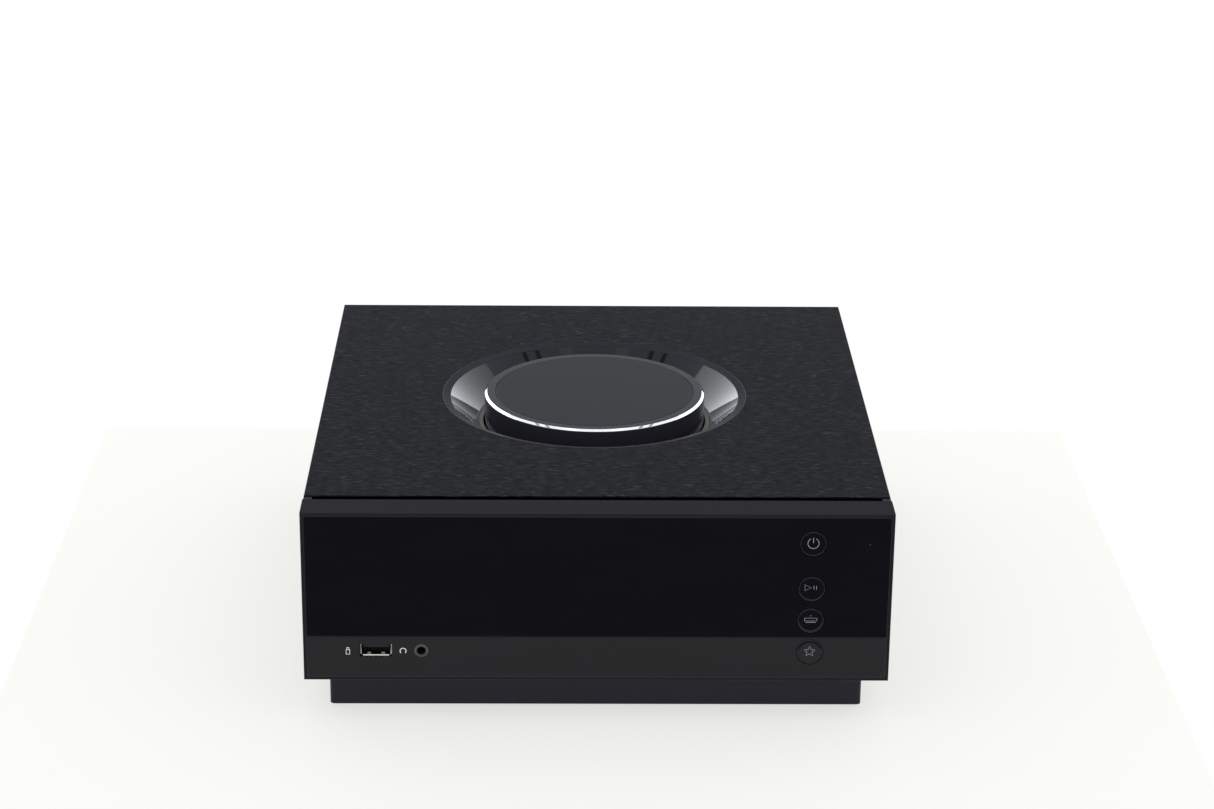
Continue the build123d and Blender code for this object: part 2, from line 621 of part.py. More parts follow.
def rear_panel():
    panel = block((-INNER_HALF, INNER_HALF), (REAR_INNER, REAR_FACE), (TRAY_TOP, COVER_UNDER))
    through = (REAR_INNER - 1, REAR_FACE + 1)
    panel -= block(around(INLET_X, INLET_BODY[0]), through, around(INLET_Z, INLET_BODY[1]))
    panel -= block(around(INLET_X, ROCKER_BODY[0]), through, around(ROCKER_Z, ROCKER_BODY[1]))
    panel -= block(around(SPEAKER_X, SPEAKER_BLOCK_WIDTH), through, around(UPPER_Z, SPEAKER_BLOCK_HEIGHT))
    panel -= block(around(HDMI_X, HDMI_WIDTH + 2 * SOCKET_CLEARANCE), through,
                   around(HDMI_Z, HDMI_HEIGHT + 2 * SOCKET_CLEARANCE))
    panel -= block(around(REAR_USB_X, USB_WIDTH + 2 * SOCKET_CLEARANCE), through,
                   around(REAR_USB_Z, USB_HEIGHT + 2 * SOCKET_CLEARANCE))
    panel -= block(around(ETHERNET_X, ETHERNET_WIDTH + 2 * SOCKET_CLEARANCE), through,
                   around(ETHERNET_Z, ETHERNET_HEIGHT + 2 * SOCKET_CLEARANCE))
    for x in OPTICAL_X:
        panel -= block(around(x, OPTICAL_WIDTH), through, around(OPTICAL_Z, OPTICAL_WIDTH))
    for x in PHONO_X:
        panel -= lying(PHONO_WIDTH / 2, x, PHONO_Z, through)
    for x in AERIAL_X:
        panel -= lying(AERIAL_RADIUS, x, UPPER_Z, through)
    for x, z in REAR_SCREWS:
        panel -= lying(SCREW_RADIUS, x, z, through)
    return panel


def mains_inlet():
    outside = REAR_FACE + FLANGE_THICKNESS
    flange = block(around(INLET_X, INLET_FLANGE[0]), (REAR_FACE, outside), around(INLET_Z, INLET_FLANGE[1]))
    flange = chamfer(flange.faces().sort_by(Axis.Y)[-1].edges(), COVER_EDGE)
    body = block(around(INLET_X, INLET_BODY[0]), (outside - INLET_DEPTH, REAR_FACE),
                 around(INLET_Z, INLET_BODY[1]))
    cavity = block(around(INLET_X, INLET_CAVITY[0]), (outside - INLET_CAVITY_DEPTH, outside + 1),
                   around(INLET_Z, INLET_CAVITY[1]))
    lower = cavity.edges().filter_by(Axis.Y).sort_by(Axis.Z)[:2]
    return flange + body - chamfer(lower, INLET_CAVITY[1] / 4)


def mains_pins():
    root = REAR_FACE + FLANGE_THICKNESS - INLET_CAVITY_DEPTH
    places = ((-PIN_SPACING, -PIN_OFFSET), (PIN_SPACING, -PIN_OFFSET), (0, PIN_OFFSET))
    return [block(around(INLET_X + x, PIN_SECTION[0]), (root, root + PIN_LENGTH),
                  around(INLET_Z + z, PIN_SECTION[1])) for x, z in places]


def rocker_frame():
    outside = REAR_FACE + FLANGE_THICKNESS
    flange = block(around(INLET_X, ROCKER_FLANGE[0]), (REAR_FACE, outside),
                   around(ROCKER_Z, ROCKER_FLANGE[1]))
    flange = chamfer(flange.faces().sort_by(Axis.Y)[-1].edges(), COVER_EDGE)
    body = block(around(INLET_X, ROCKER_BODY[0]), (REAR_FACE - ROCKER_BODY_DEPTH, REAR_FACE),
                 around(ROCKER_Z, ROCKER_BODY[1]))
    well = block(around(INLET_X, 2 * (ROCKER_RADIUS + ROCKER_GAP)), (REAR_FACE - ROCKER_RADIUS, outside + 1),
                 around(ROCKER_Z, ROCKER_HEIGHT + 2 * ROCKER_GAP))
    pin_half = ROCKER_HEIGHT / 2 + ROCKER_PIN_LENGTH + RUNNING_CLEARANCE
    pin_hole = upright(ROCKER_PIN_RADIUS + RUNNING_CLEARANCE, INLET_X, REAR_FACE - ROCKER_PIVOT_DEPTH,
                       (ROCKER_Z - pin_half, ROCKER_Z + pin_half))
    return flange + body - well - pin_hole


def power_rocker():
    """A rocker with a dished face, tilted to its off side about a pin along Z."""
    face = make_face(Polyline((-2 * ROCKER_RADIUS, ROCKER_RISE), (0, ROCKER_RISE - ROCKER_DISH),
                              (2 * ROCKER_RADIUS, ROCKER_RISE), (2 * ROCKER_RADIUS, -ROCKER_ROOT),
                              (-2 * ROCKER_RADIUS, -ROCKER_ROOT), close=True))
    key_form = extrude(face & Circle(ROCKER_RADIUS), ROCKER_HEIGHT / 2, both=True)
    pin_half = ROCKER_HEIGHT / 2 + ROCKER_PIN_LENGTH
    key_form += upright(ROCKER_PIN_RADIUS, 0, 0, (-pin_half, pin_half))
    return Pos(INLET_X, REAR_FACE - ROCKER_PIVOT_DEPTH, ROCKER_Z) * Rot(0, 0, ROCKER_TILT) * key_form


def speaker_block():
    outside = REAR_FACE + SPEAKER_FLANGE_THICKNESS
    margin = 2 * SPEAKER_FLANGE_MARGIN
    flange = block(around(SPEAKER_X, SPEAKER_BLOCK_WIDTH + margin), (REAR_FACE, outside),
                   around(UPPER_Z, SPEAKER_BLOCK_HEIGHT + margin))
    flange = chamfer(flange.faces().sort_by(Axis.Y)[-1].edges(), COVER_EDGE)
    body = block(around(SPEAKER_X, SPEAKER_BLOCK_WIDTH), (outside - SPEAKER_BLOCK_DEPTH, REAR_FACE),
                 around(UPPER_Z, SPEAKER_BLOCK_HEIGHT))
    moulding = flange + body
    through = (REAR_FACE - 2 * SPEAKER_BLOCK_DEPTH, outside + 1)
    for x in SPEAKER_XS:
        moulding -= lying(SPEAKER_SLEEVE_RADIUS, x, UPPER_Z, through)
    return moulding


def speaker_sleeve(x):
    mouth = REAR_FACE + SPEAKER_FLANGE_THICKNESS + SPEAKER_SLEEVE_PROUD
    sleeve = lying(SPEAKER_SLEEVE_RADIUS, x, UPPER_Z, (mouth - SPEAKER_BORE_LENGTH - 2, mouth))
    return sleeve - lying(SPEAKER_BORE_RADIUS, x, UPPER_Z, (mouth - SPEAKER_BORE_LENGTH, mouth + 1))


def phono_body(x):
    nose = lying(PHONO_WIDTH / 2, x, PHONO_Z, (REAR_INNER, REAR_FACE))
    body = block(around(x, PHONO_WIDTH), (REAR_INNER - PHONO_BODY_DEPTH, REAR_INNER),
                 (BOARD_TOP, PHONO_Z + PHONO_WIDTH / 2))
    insulator_end = REAR_FACE + PHONO_REACH - 1
    insulator = lying(PHONO_SHELL_RADIUS - PHONO_SHELL_WALL, x, PHONO_Z, (REAR_FACE, insulator_end))
    bore = lying(PHONO_BORE_RADIUS, x, PHONO_Z, (REAR_INNER, insulator_end + 1))
    return nose + body + insulator - bore


def phono_shell(x):
    outside = (REAR_FACE, REAR_FACE + PHONO_REACH)
    inner = PHONO_SHELL_RADIUS - PHONO_SHELL_WALL
    return lying(PHONO_SHELL_RADIUS, x, PHONO_Z, outside) - lying(inner, x, PHONO_Z, outside)


def optical_body(x):
    mouth = REAR_FACE + 1
    body = block(around(x, OPTICAL_WIDTH), (mouth - OPTICAL_DEPTH, mouth), around(OPTICAL_Z, OPTICAL_WIDTH))
    body -= block(around(x, OPTICAL_MOUTH), (mouth - OPTICAL_CAVITY, mouth + 1),
                  around(OPTICAL_Z, OPTICAL_MOUTH))
    lens_root = mouth - OPTICAL_CAVITY
    body += lying(OPTICAL_LENS_RADIUS, x, OPTICAL_Z, (lens_root, lens_root + OPTICAL_LENS_LENGTH))
    pin_y, pin_z = shutter_axis()
    half = OPTICAL_MOUTH / 2 + SHUTTER_PIN_LENGTH + RUNNING_CLEARANCE
    hole = Cylinder(SHUTTER_PIN_RADIUS + RUNNING_CLEARANCE, 2 * half)
    return body - Pos(x, pin_y, pin_z) * Rot(0, 90, 0) * hole


def shutter_axis():
    """Where the optical sockets' shutters hinge, in Y and Z."""
    inset = SHUTTER_GAP + SHUTTER_THICKNESS / 2
    return (REAR_FACE + 1 - inset, OPTICAL_Z + OPTICAL_MOUTH / 2 - inset)


def optical_shutter(x):
    pin_y, pin_z = shutter_axis()
    width = OPTICAL_MOUTH - 2 * SHUTTER_GAP
    low = OPTICAL_Z - OPTICAL_MOUTH / 2 + SHUTTER_GAP
    flap = block(around(x, width), around(pin_y, SHUTTER_THICKNESS), (low, pin_z))
    knuckle = Cylinder(SHUTTER_THICKNESS / 2, width)
    pin = Cylinder(SHUTTER_PIN_RADIUS, OPTICAL_MOUTH + 2 * SHUTTER_PIN_LENGTH)
    return flap + Pos(x, pin_y, pin_z) * Rot(0, 90, 0) * (knuckle + pin)


def hdmi_outline(shrink):
    """The socket's outline, square above and chamfered below, seen from the rear."""
    half = HDMI_WIDTH / 2 - shrink
    top = HDMI_HEIGHT / 2 - shrink
    cut = HDMI_CHAMFER
    points = ((-half, top), (half, top), (half, cut - top), (half - cut, -top),
              (cut - half, -top), (-half, cut - top))
    face = make_face(Polyline(*points, close=True))
    return Plane(origin=(HDMI_X, REAR_FACE, HDMI_Z), x_dir=(1, 0, 0), z_dir=(0, -1, 0)) * face


def hdmi_shell():
    shell = extrude(hdmi_outline(0), HDMI_LENGTH)
    return shell - extrude(hdmi_outline(USB_WALL), HDMI_LENGTH - 1)


def hdmi_tongue():
    root = REAR_FACE - HDMI_LENGTH + 1
    return block(around(HDMI_X, HDMI_TONGUE_WIDTH), (root, REAR_FACE - HDMI_TONGUE_INSET),
                 around(HDMI_Z + HDMI_TONGUE_RAISE, USB_TONGUE_THICKNESS))


def ethernet_socket():
    mouth = REAR_FACE + 1
    can = block(around(ETHERNET_X, ETHERNET_WIDTH), (mouth - ETHERNET_LENGTH, mouth),
                (BOARD_TOP, BOARD_TOP + ETHERNET_HEIGHT))
    width, height = ETHERNET_MOUTH
    cavity = (mouth - ETHERNET_CAVITY, mouth + 1)
    middle = ETHERNET_Z + ETHERNET_RAISE
    low = middle - height / 2
    can -= block(around(ETHERNET_X, width), cavity, around(middle, height))
    return can - block(around(ETHERNET_X, width / 2), cavity, (low - ETHERNET_LATCH_DEPTH, middle))


def aerial_socket(x):
    barrel = lying(AERIAL_RADIUS, x, UPPER_Z, (REAR_INNER - AERIAL_INSIDE, REAR_FACE + AERIAL_REACH))
    barrel = chamfer(barrel.edges().sort_by(Axis.Y)[-1], 2 * COVER_EDGE)
    collar = lying(AERIAL_NUT / 2, x, UPPER_Z, (REAR_INNER - AERIAL_INSIDE / 2, REAR_INNER))
    return barrel + collar - lying(AERIAL_BORE_RADIUS, x, UPPER_Z, (REAR_FACE, REAR + 1))


def aerial_nut(x):
    start = Plane(origin=(x, REAR_FACE, UPPER_Z), z_dir=(0, 1, 0))
    hexagon = RegularPolygon(AERIAL_NUT / 2, 6, major_radius=False)
    return extrude(start * (hexagon - Circle(AERIAL_RADIUS)), AERIAL_NUT_THICKNESS)


# ---- inside ----

def main_board():
    """The rear board, notched round the rear corner posts."""
    rear = REAR_INNER - BOARD_MARGIN
    board = block((-BOARD_HALF, BOARD_HALF), (MAIN_BOARD_FRONT, rear), (BOARD_BOTTOM, BOARD_TOP))
    for side in (-1, 1):
        notch = around(side * BOARD_HALF, 2 * POST_SIZE)
        board -= block(notch, (rear - POST_SIZE, rear + 1), (BOARD_BOTTOM - 1, BOARD_TOP + 1))
    return board


def power_board():
    left = TOROID_X + TOROID_RADIUS + TOROID_CLEARANCE
    front = COVER_FRONT + POST_SIZE + BOARD_MARGIN
    return block((left, BOARD_HALF), (front, MAIN_BOARD_FRONT - BOARD_MARGIN), (BOARD_BOTTOM, BOARD_TOP))


def board_pillars():
    pillars = []
    for board in (main_board(), power_board()):
        box = board.bounding_box()
        for x in (box.min.X + PILLAR_FROM_EDGE, box.max.X - PILLAR_FROM_EDGE):
            for y in (box.min.Y + PILLAR_FROM_EDGE, box.max.Y - PILLAR_FROM_EDGE):
                pillars.append(upright(PILLAR_RADIUS, x, y, (TRAY_TOP, BOARD_BOTTOM)))
    return pillars


def transformer():
    ring = upright(TOROID_RADIUS, TOROID_X, TOROID_Y, (TRAY_TOP, TRAY_TOP + TOROID_HEIGHT))
    ring -= upright(TOROID_HOLE, TOROID_X, TOROID_Y, (TRAY_TOP - 1, TRAY_TOP + TOROID_HEIGHT + 1))
    return fillet(ring.edges().filter_by(GeomType.CIRCLE), TOROID_HEIGHT / 5)


def transformer_clamp():
    top = TRAY_TOP + TOROID_HEIGHT
    plate = upright(CLAMP_RADIUS, TOROID_X, TOROID_Y, (top, top + CLAMP_THICKNESS))
    head = upright(2 * BOLT_RADIUS, TOROID_X, TOROID_Y, (top + CLAMP_THICKNESS, top + 3 * CLAMP_THICKNESS))
    return plate + head + upright(BOLT_RADIUS, TOROID_X, TOROID_Y, (TRAY_TOP, top))


def reservoir_capacitors():
    """Four in a square, on the part of the power board that the front ribbon leaves clear."""
    box = power_board().bounding_box()
    middle_x = (box.min.X + 2 * RIBBON_CLEARANCE + RIBBON_WIDTH + box.max.X) / 2
    middle_y = (box.min.Y + box.max.Y) / 2
    half = CAPACITOR_PITCH / 2
    top = BOARD_TOP + CAPACITOR_HEIGHT
    return [upright(CAPACITOR_RADIUS, middle_x + x, middle_y + y, (BOARD_TOP, top))
            for x in (-half, half) for y in (-half, half)]


def power_transistor(side, y):
    """A flat plastic package against the heat sink, with three legs down to the main board."""
    foot_z = BOARD_TOP + TRANSISTOR_HEIGHT / 2
    x = sorted((side * INNER_HALF, side * (INNER_HALF - TRANSISTOR_THICKNESS)))
    device = block(x, around(y, TRANSISTOR_WIDTH), (foot_z, foot_z + TRANSISTOR_HEIGHT))
    leg_x = side * (INNER_HALF - TRANSISTOR_THICKNESS + TRANSISTOR_LEG / 2)
    for i in (-1, 0, 1):
        leg_y = y + i * TRANSISTOR_WIDTH / 3
        device += block(around(leg_x, TRANSISTOR_LEG), around(leg_y, TRANSISTOR_LEG), (BOARD_TOP, foot_z))
    return device


def power_transistors():
    middle = (MAIN_BOARD_FRONT + REAR_INNER - POST_SIZE) / 2
    shift = (TRANSISTOR_COUNT - 1) / 2
    return [power_transistor(side, middle + (i - shift) * TRANSISTOR_PITCH)
            for side in (-1, 1) for i in range(TRANSISTOR_COUNT)]


def processor_can():
    length, width, height = CAN_SIZE
    y = MAIN_BOARD_FRONT + PILLAR_FROM_EDGE + width / 2
    return block(around(SOCKET_HALF / 2, length), around(y, width), (BOARD_TOP, BOARD_TOP + height))


def ribbon(x, points):
    """A flat cable on edge-to-edge bends, along points given as (y, z)."""
    route = FilletPolyline(*[(x, y, z) for y, z in points], radius=RIBBON_BEND)
    start = Plane(origin=route @ 0, x_dir=(1, 0, 0), z_dir=route % 0)
    return sweep(start * Rectangle(RIBBON_WIDTH, RIBBON_THICKNESS), path=route)


def dial_ribbon():
    """From the encoder board across to the main board's front edge."""
    high = CASE_TOP - HOUSING_BOTTOM - BOARD_THICKNESS - RIBBON_THICKNESS / 2
    y = DIAL_Y - ENCODER_RADIUS / 2
    landing = MAIN_BOARD_FRONT + RIBBON_LANDING
    return ribbon(-ENCODER_RADIUS - RIBBON_WIDTH / 2, [(y + 8, high), (landing, high), (landing, BOARD_TOP)])


def front_ribbon():
    """From the front board back over the power board to the main board."""
    x = power_board().bounding_box().min.X + RIBBON_CLEARANCE + RIBBON_WIDTH / 2
    high = BOARD_TOP + FRONT_RIBBON_RISE
    landing = MAIN_BOARD_FRONT + RIBBON_LANDING
    return ribbon(x, [(FRONT_BOARD_Y + BOARD_THICKNESS, high), (landing, high), (landing, BOARD_TOP)])


# ---- volume dial ----

def trim_ring():
    """The black ring let into the cover, sloping down to the dish."""
    inner = DISH_RIM_RADIUS
    return turned((TRIM_RADIUS, 0), (TRIM_RADIUS, TRIM_THICKNESS), (inner, TRIM_THICKNESS),
                  (inner, DISH_TOP), (TRIM_RADIUS - TRIM_LAND, 0))


def dial_dish():
    """A polished funnel from the trim ring down to the light guide, hung from a flange."""
    foot_inner = DISH_FOOT_RADIUS - DISH_LAND
    flange_low = TRIM_THICKNESS + DISH_WALL
    skirt = DISH_RIM_RADIUS + DISH_WALL
    cone_low = LIGHT_TOP + DISH_WALL
    return turned((DISH_RIM_RADIUS, DISH_TOP), (DISH_RIM_RADIUS, TRIM_THICKNESS),
                  (TRIM_RADIUS + FLANGE_WIDTH, TRIM_THICKNESS), (TRIM_RADIUS + FLANGE_WIDTH, flange_low),
                  (skirt, flange_low), (DISH_FOOT_RADIUS + DISH_WALL, cone_low), (foot_inner, cone_low),
                  (foot_inner, LIGHT_TOP), (DISH_FOOT_RADIUS, LIGHT_TOP))


def light_guide():
    inner = DIAL_RADIUS + LIGHT_GAP
    outer = inner + LIGHT_WIDTH
    return turned((inner, LIGHT_TOP), (outer, LIGHT_TOP), (outer, LIGHT_TOP + LIGHT_HEIGHT),
                  (inner, LIGHT_TOP + LIGHT_HEIGHT))


def light_board():
    inner = DIAL_RADIUS + LIGHT_GAP - LIGHT_WIDTH
    outer = DISH_FOOT_RADIUS + LIGHT_WIDTH
    top = LIGHT_TOP + LIGHT_HEIGHT
    return turned((inner, top), (outer, top), (outer, top + BOARD_THICKNESS), (inner, top + BOARD_THICKNESS))


def dial_carrier():
    """The pan that holds the light board and the bearing, screwed up against the dish."""
    top = TRIM_THICKNESS + DISH_WALL
    rim = TRIM_RADIUS + FLANGE_WIDTH
    wall = DISH_RIM_RADIUS + DISH_WALL
    floor_top = CARRIER_FLOOR - CARRIER_WALL
    housing = BEARING_RADIUS + HOUSING_WALL
    pan = turned((rim, top), (rim, top + CARRIER_WALL), (wall + CARRIER_WALL, top + CARRIER_WALL),
                 (wall + CARRIER_WALL, CARRIER_FLOOR), (housing, CARRIER_FLOOR), (housing, HOUSING_BOTTOM),
                 (BEARING_RADIUS, HOUSING_BOTTOM), (BEARING_RADIUS, floor_top), (wall, floor_top),
                 (wall, top))
    board_under = LIGHT_TOP + LIGHT_HEIGHT + BOARD_THICKNESS
    for i in range(4):
        place = PolarLocations(DISH_FOOT_RADIUS - LIGHT_BOARD_POST, 4)
        post = Cylinder(LIGHT_BOARD_POST, floor_top - board_under)
        pan += Pos(0, DIAL_Y, CASE_TOP - (floor_top + board_under) / 2) * place.locations[i] * post
    return pan


def dial_body():
    """Skirt, rim and hub in one turned piece."""
    rim_outer = DIAL_RADIUS - BEVEL
    rim_inner = rim_outer - RIM_WIDTH
    bevel_foot = BEVEL_DROP - DIAL_PROUD + BEVEL_BAND
    seat = CAP_THICKNESS - DIAL_PROUD
    under = seat + DIAL_FLOOR
    inner = DIAL_RADIUS - DIAL_WALL
    return turned((rim_inner, -DIAL_PROUD), (rim_outer, -DIAL_PROUD), (rim_outer, bevel_foot),
                  (DIAL_RADIUS, bevel_foot), (DIAL_RADIUS, DIAL_SKIRT - 2 * SKIRT_FLARE),
                  (DIAL_RADIUS + SKIRT_FLARE, DIAL_SKIRT), (inner, DIAL_SKIRT), (inner, under),
                  (HUB_RADIUS, under), (HUB_RADIUS, HUB_BOTTOM), (SHAFT_RADIUS, HUB_BOTTOM),
                  (SHAFT_RADIUS, seat), (rim_inner, seat))


def dial_bevel():
    """The bright ring pressed over the top edge of the dial."""
    inner = DIAL_RADIUS - BEVEL
    bevel_foot = BEVEL_DROP - DIAL_PROUD
    return turned((inner, -DIAL_PROUD), (DIAL_RADIUS, bevel_foot), (DIAL_RADIUS, bevel_foot + BEVEL_BAND),
                  (inner, bevel_foot + BEVEL_BAND))


def dial_cap():
    seat = CAP_THICKNESS - DIAL_PROUD
    return turned((0, -DIAL_PROUD), (CAP_RADIUS, -DIAL_PROUD), (CAP_RADIUS, seat), (0, seat))


def dial_shaft():
    """A plain shaft up through the bearing into the hub, with a shoulder over the bearing."""
    top = CAP_THICKNESS - DIAL_PROUD
    shoulder = SHAFT_RADIUS + RACE_WALL / 2
    return turned((0, top), (SHAFT_RADIUS, top), (SHAFT_RADIUS, HUB_BOTTOM), (shoulder, HUB_BOTTOM),
                  (shoulder, BEARING_TOP), (SHAFT_RADIUS, BEARING_TOP), (SHAFT_RADIUS, SHAFT_BOTTOM),
                  (0, SHAFT_BOTTOM))


def ball_pitch_radius():
    return (SHAFT_RADIUS + BEARING_RADIUS) / 2


def ball_groove():
    circle = Pos(ball_pitch_radius(), CASE_TOP - BEARING_TOP - BEARING_WIDTH / 2) * Circle(RACE_GROOVE)
    return Pos(0, DIAL_Y, 0) * revolve(Plane.XZ * circle, Axis.Z)


def bearing_race(inner, outer):
    bottom = BEARING_TOP + BEARING_WIDTH
    race = turned((inner, BEARING_TOP), (outer, BEARING_TOP), (outer, bottom), (inner, bottom))
    return race - ball_groove()


def bearing_balls():
    height = CASE_TOP - BEARING_TOP - BEARING_WIDTH / 2
    places = PolarLocations(ball_pitch_radius(), BALL_COUNT)
    return [Pos(0, DIAL_Y, height) * place * Sphere(BALL_RADIUS) for place in places.locations]


def shaft_clip():
    """An open spring ring that holds the bearing up against the shoulder."""
    top = BEARING_TOP + BEARING_WIDTH
    bottom = top + CLIP_THICKNESS
    outer = SHAFT_RADIUS + RACE_WALL / 2
    ring = turned((SHAFT_RADIUS, top), (outer, top), (outer, bottom), (SHAFT_RADIUS, bottom))
    return ring - block(around(0, SHAFT_RADIUS), (DIAL_Y, DIAL_Y + 2 * outer),
                        (CASE_TOP - bottom - 1, CASE_TOP - top + 1))


def encoder_board():
    under = HOUSING_BOTTOM + BOARD_THICKNESS
    ring = turned((ENCODER_BORE, HOUSING_BOTTOM), (ENCODER_RADIUS, HOUSING_BOTTOM), (ENCODER_RADIUS, under),
                  (ENCODER_BORE, under))
    length, width, height = ENCODER_CHIP
    middle = DIAL_Y - (ENCODER_BORE + ENCODER_RADIUS) / 2
    chip_top = CASE_TOP - under
    return ring + block(around(0, length), around(middle, width), (chip_top - height, chip_top))


def encoder_ring():
    """The magnetised disc that turns under the encoder board."""
    top = HOUSING_BOTTOM + BOARD_THICKNESS + ENCODER_GAP
    bottom = top + ENCODER_RING_THICKNESS
    return turned((SHAFT_RADIUS, top), (ENCODER_RADIUS, top), (ENCODER_RADIUS, bottom),
                  (SHAFT_RADIUS, bottom))


# ---- write every node ----

os.makedirs("parts", exist_ok=True)

write("top_cover", top_cover())
write("left_heat_sink", heat_sink(-1))
write("right_heat_sink", heat_sink(1))
write("base_tray", base_tray())
write("posts_and_pillars", *corner_posts(), *board_pillars())
write("plinth", plinth())
write("feet", *[foot(x, y) for x, y in foot_places()])
write("case_screws", *[plinth_screw(x, y) for x, y in PLINTH_SCREWS],
      *[rear_screw(x, z) for x, z in REAR_SCREWS])

write("front_bezel", front_bezel())
write("front_glass", front_glass())
write("front_frame", front_frame())
for key_name, key_z in KEYS.items():
    write(key_name, key(key_z))
write("key_guide", key_guide())
write("key_switches", *[key_switch(z) for z in KEYS.values()])
write("front_boards", front_board(), socket_board())
write("display_screen", display_screen())
write("display_bracket", display_bracket())
write("front_usb_shell", usb_shell(USB_X, SOCKET_Z, GLASS_FRONT, 1))
write("headphone_jack", headphone_jack())

write("rear_panel", rear_panel())
write("mains_inlet", mains_inlet())
write("mains_pins", *mains_pins())
write("rocker_frame", rocker_frame())
write("power_rocker", power_rocker())
write("speaker_block", speaker_block())
write("speaker_sleeves", *[speaker_sleeve(x) for x in SPEAKER_XS])
write("phono_bodies", *[phono_body(x) for x in PHONO_X])
write("phono_shells", *[phono_shell(x) for x in PHONO_X])
write("optical_sockets", *[optical_body(x) for x in OPTICAL_X])
for number, shutter_x in enumerate(OPTICAL_X, 1):
    write(f"optical_shutter_{number}", optical_shutter(shutter_x))
write("ethernet_socket", ethernet_socket())
write("rear_shells", usb_shell(REAR_USB_X, REAR_USB_Z, REAR_FACE, -1), hdmi_shell())
write("socket_tongues", usb_tongue(USB_X, SOCKET_Z, GLASS_FRONT, 1),
      usb_tongue(REAR_USB_X, REAR_USB_Z, REAR_FACE, -1), hdmi_tongue())
write("aerial_sockets", *[aerial_socket(x) for x in AERIAL_X], *[aerial_nut(x) for x in AERIAL_X])

write("main_board", main_board())
write("power_board", power_board())
write("transformer", transformer())
write("transformer_clamp", transformer_clamp())
write("reservoir_capacitors", *reservoir_capacitors())
write("power_transistors", *power_transistors())
write("processor_can", processor_can())
write("ribbon_cables", dial_ribbon(), front_ribbon())

write("trim_ring", trim_ring())
write("dial_dish", dial_dish())
write("light_guide", light_guide())
write("dial_carrier", dial_carrier())
write("dial_body", dial_body())
write("dial_bevel", dial_bevel())
write("dial_cap", dial_cap())
write("dial_shaft", dial_shaft(), shaft_clip())
write("bearing_outer_race", bearing_race(BEARING_RADIUS - RACE_WALL, BEARING_RADIUS))
write("bearing_inner_race", bearing_race(SHAFT_RADIUS, SHAFT_RADIUS + RACE_WALL))
write("bearing_balls", *bearing_balls())
write("dial_boards", light_board(), encoder_board())
write("encoder_ring", encoder_ring())
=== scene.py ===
import json
import math

import bmesh
import bpy
from mathutils import Matrix, Vector


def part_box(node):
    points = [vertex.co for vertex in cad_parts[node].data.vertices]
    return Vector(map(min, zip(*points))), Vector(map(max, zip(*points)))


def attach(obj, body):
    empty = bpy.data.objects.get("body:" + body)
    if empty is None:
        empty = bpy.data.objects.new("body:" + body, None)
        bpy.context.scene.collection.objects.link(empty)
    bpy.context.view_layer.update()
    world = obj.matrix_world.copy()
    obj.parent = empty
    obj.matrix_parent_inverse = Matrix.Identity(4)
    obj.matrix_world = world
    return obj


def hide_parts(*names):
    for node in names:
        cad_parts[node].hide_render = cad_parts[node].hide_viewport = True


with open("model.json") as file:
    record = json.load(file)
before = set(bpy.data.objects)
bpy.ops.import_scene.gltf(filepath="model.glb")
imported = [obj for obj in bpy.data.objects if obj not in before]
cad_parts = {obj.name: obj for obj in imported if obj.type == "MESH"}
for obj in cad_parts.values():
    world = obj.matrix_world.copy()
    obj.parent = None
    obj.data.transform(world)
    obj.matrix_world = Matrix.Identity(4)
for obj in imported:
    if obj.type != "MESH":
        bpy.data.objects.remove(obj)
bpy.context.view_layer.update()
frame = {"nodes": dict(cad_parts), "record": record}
nodes = frame["nodes"]
MM = 0.001


# ---- shader expressions -------------------------------------------------------------------------

class Value:
    """A number that varies over a surface; arithmetic on it adds Math nodes."""

    def __init__(self, finish, socket):
        self.finish = finish
        self.socket = socket

    def math(self, operation, *others):
        values = dict(enumerate((self,) + others))
        return self.finish.node("ShaderNodeMath", {"operation": operation}, values)

    def __add__(self, other):
        return self.math("ADD", other)

    __radd__ = __add__

    def __mul__(self, other):
        return self.math("MULTIPLY", other)

    __rmul__ = __mul__

    def __sub__(self, other):
        return self.math("SUBTRACT", other)

    def __rsub__(self, other):
        return (self * -1) + other

    def above(self, edge):
        return self.math("GREATER_THAN", edge)

    def within(self, low, high):
        """0 below low, 1 above high and straight between them."""
        sockets = {"Value": self, "From Min": low, "From Max": high}
        return self.finish.node("ShaderNodeMapRange", {"clamp": True}, sockets)


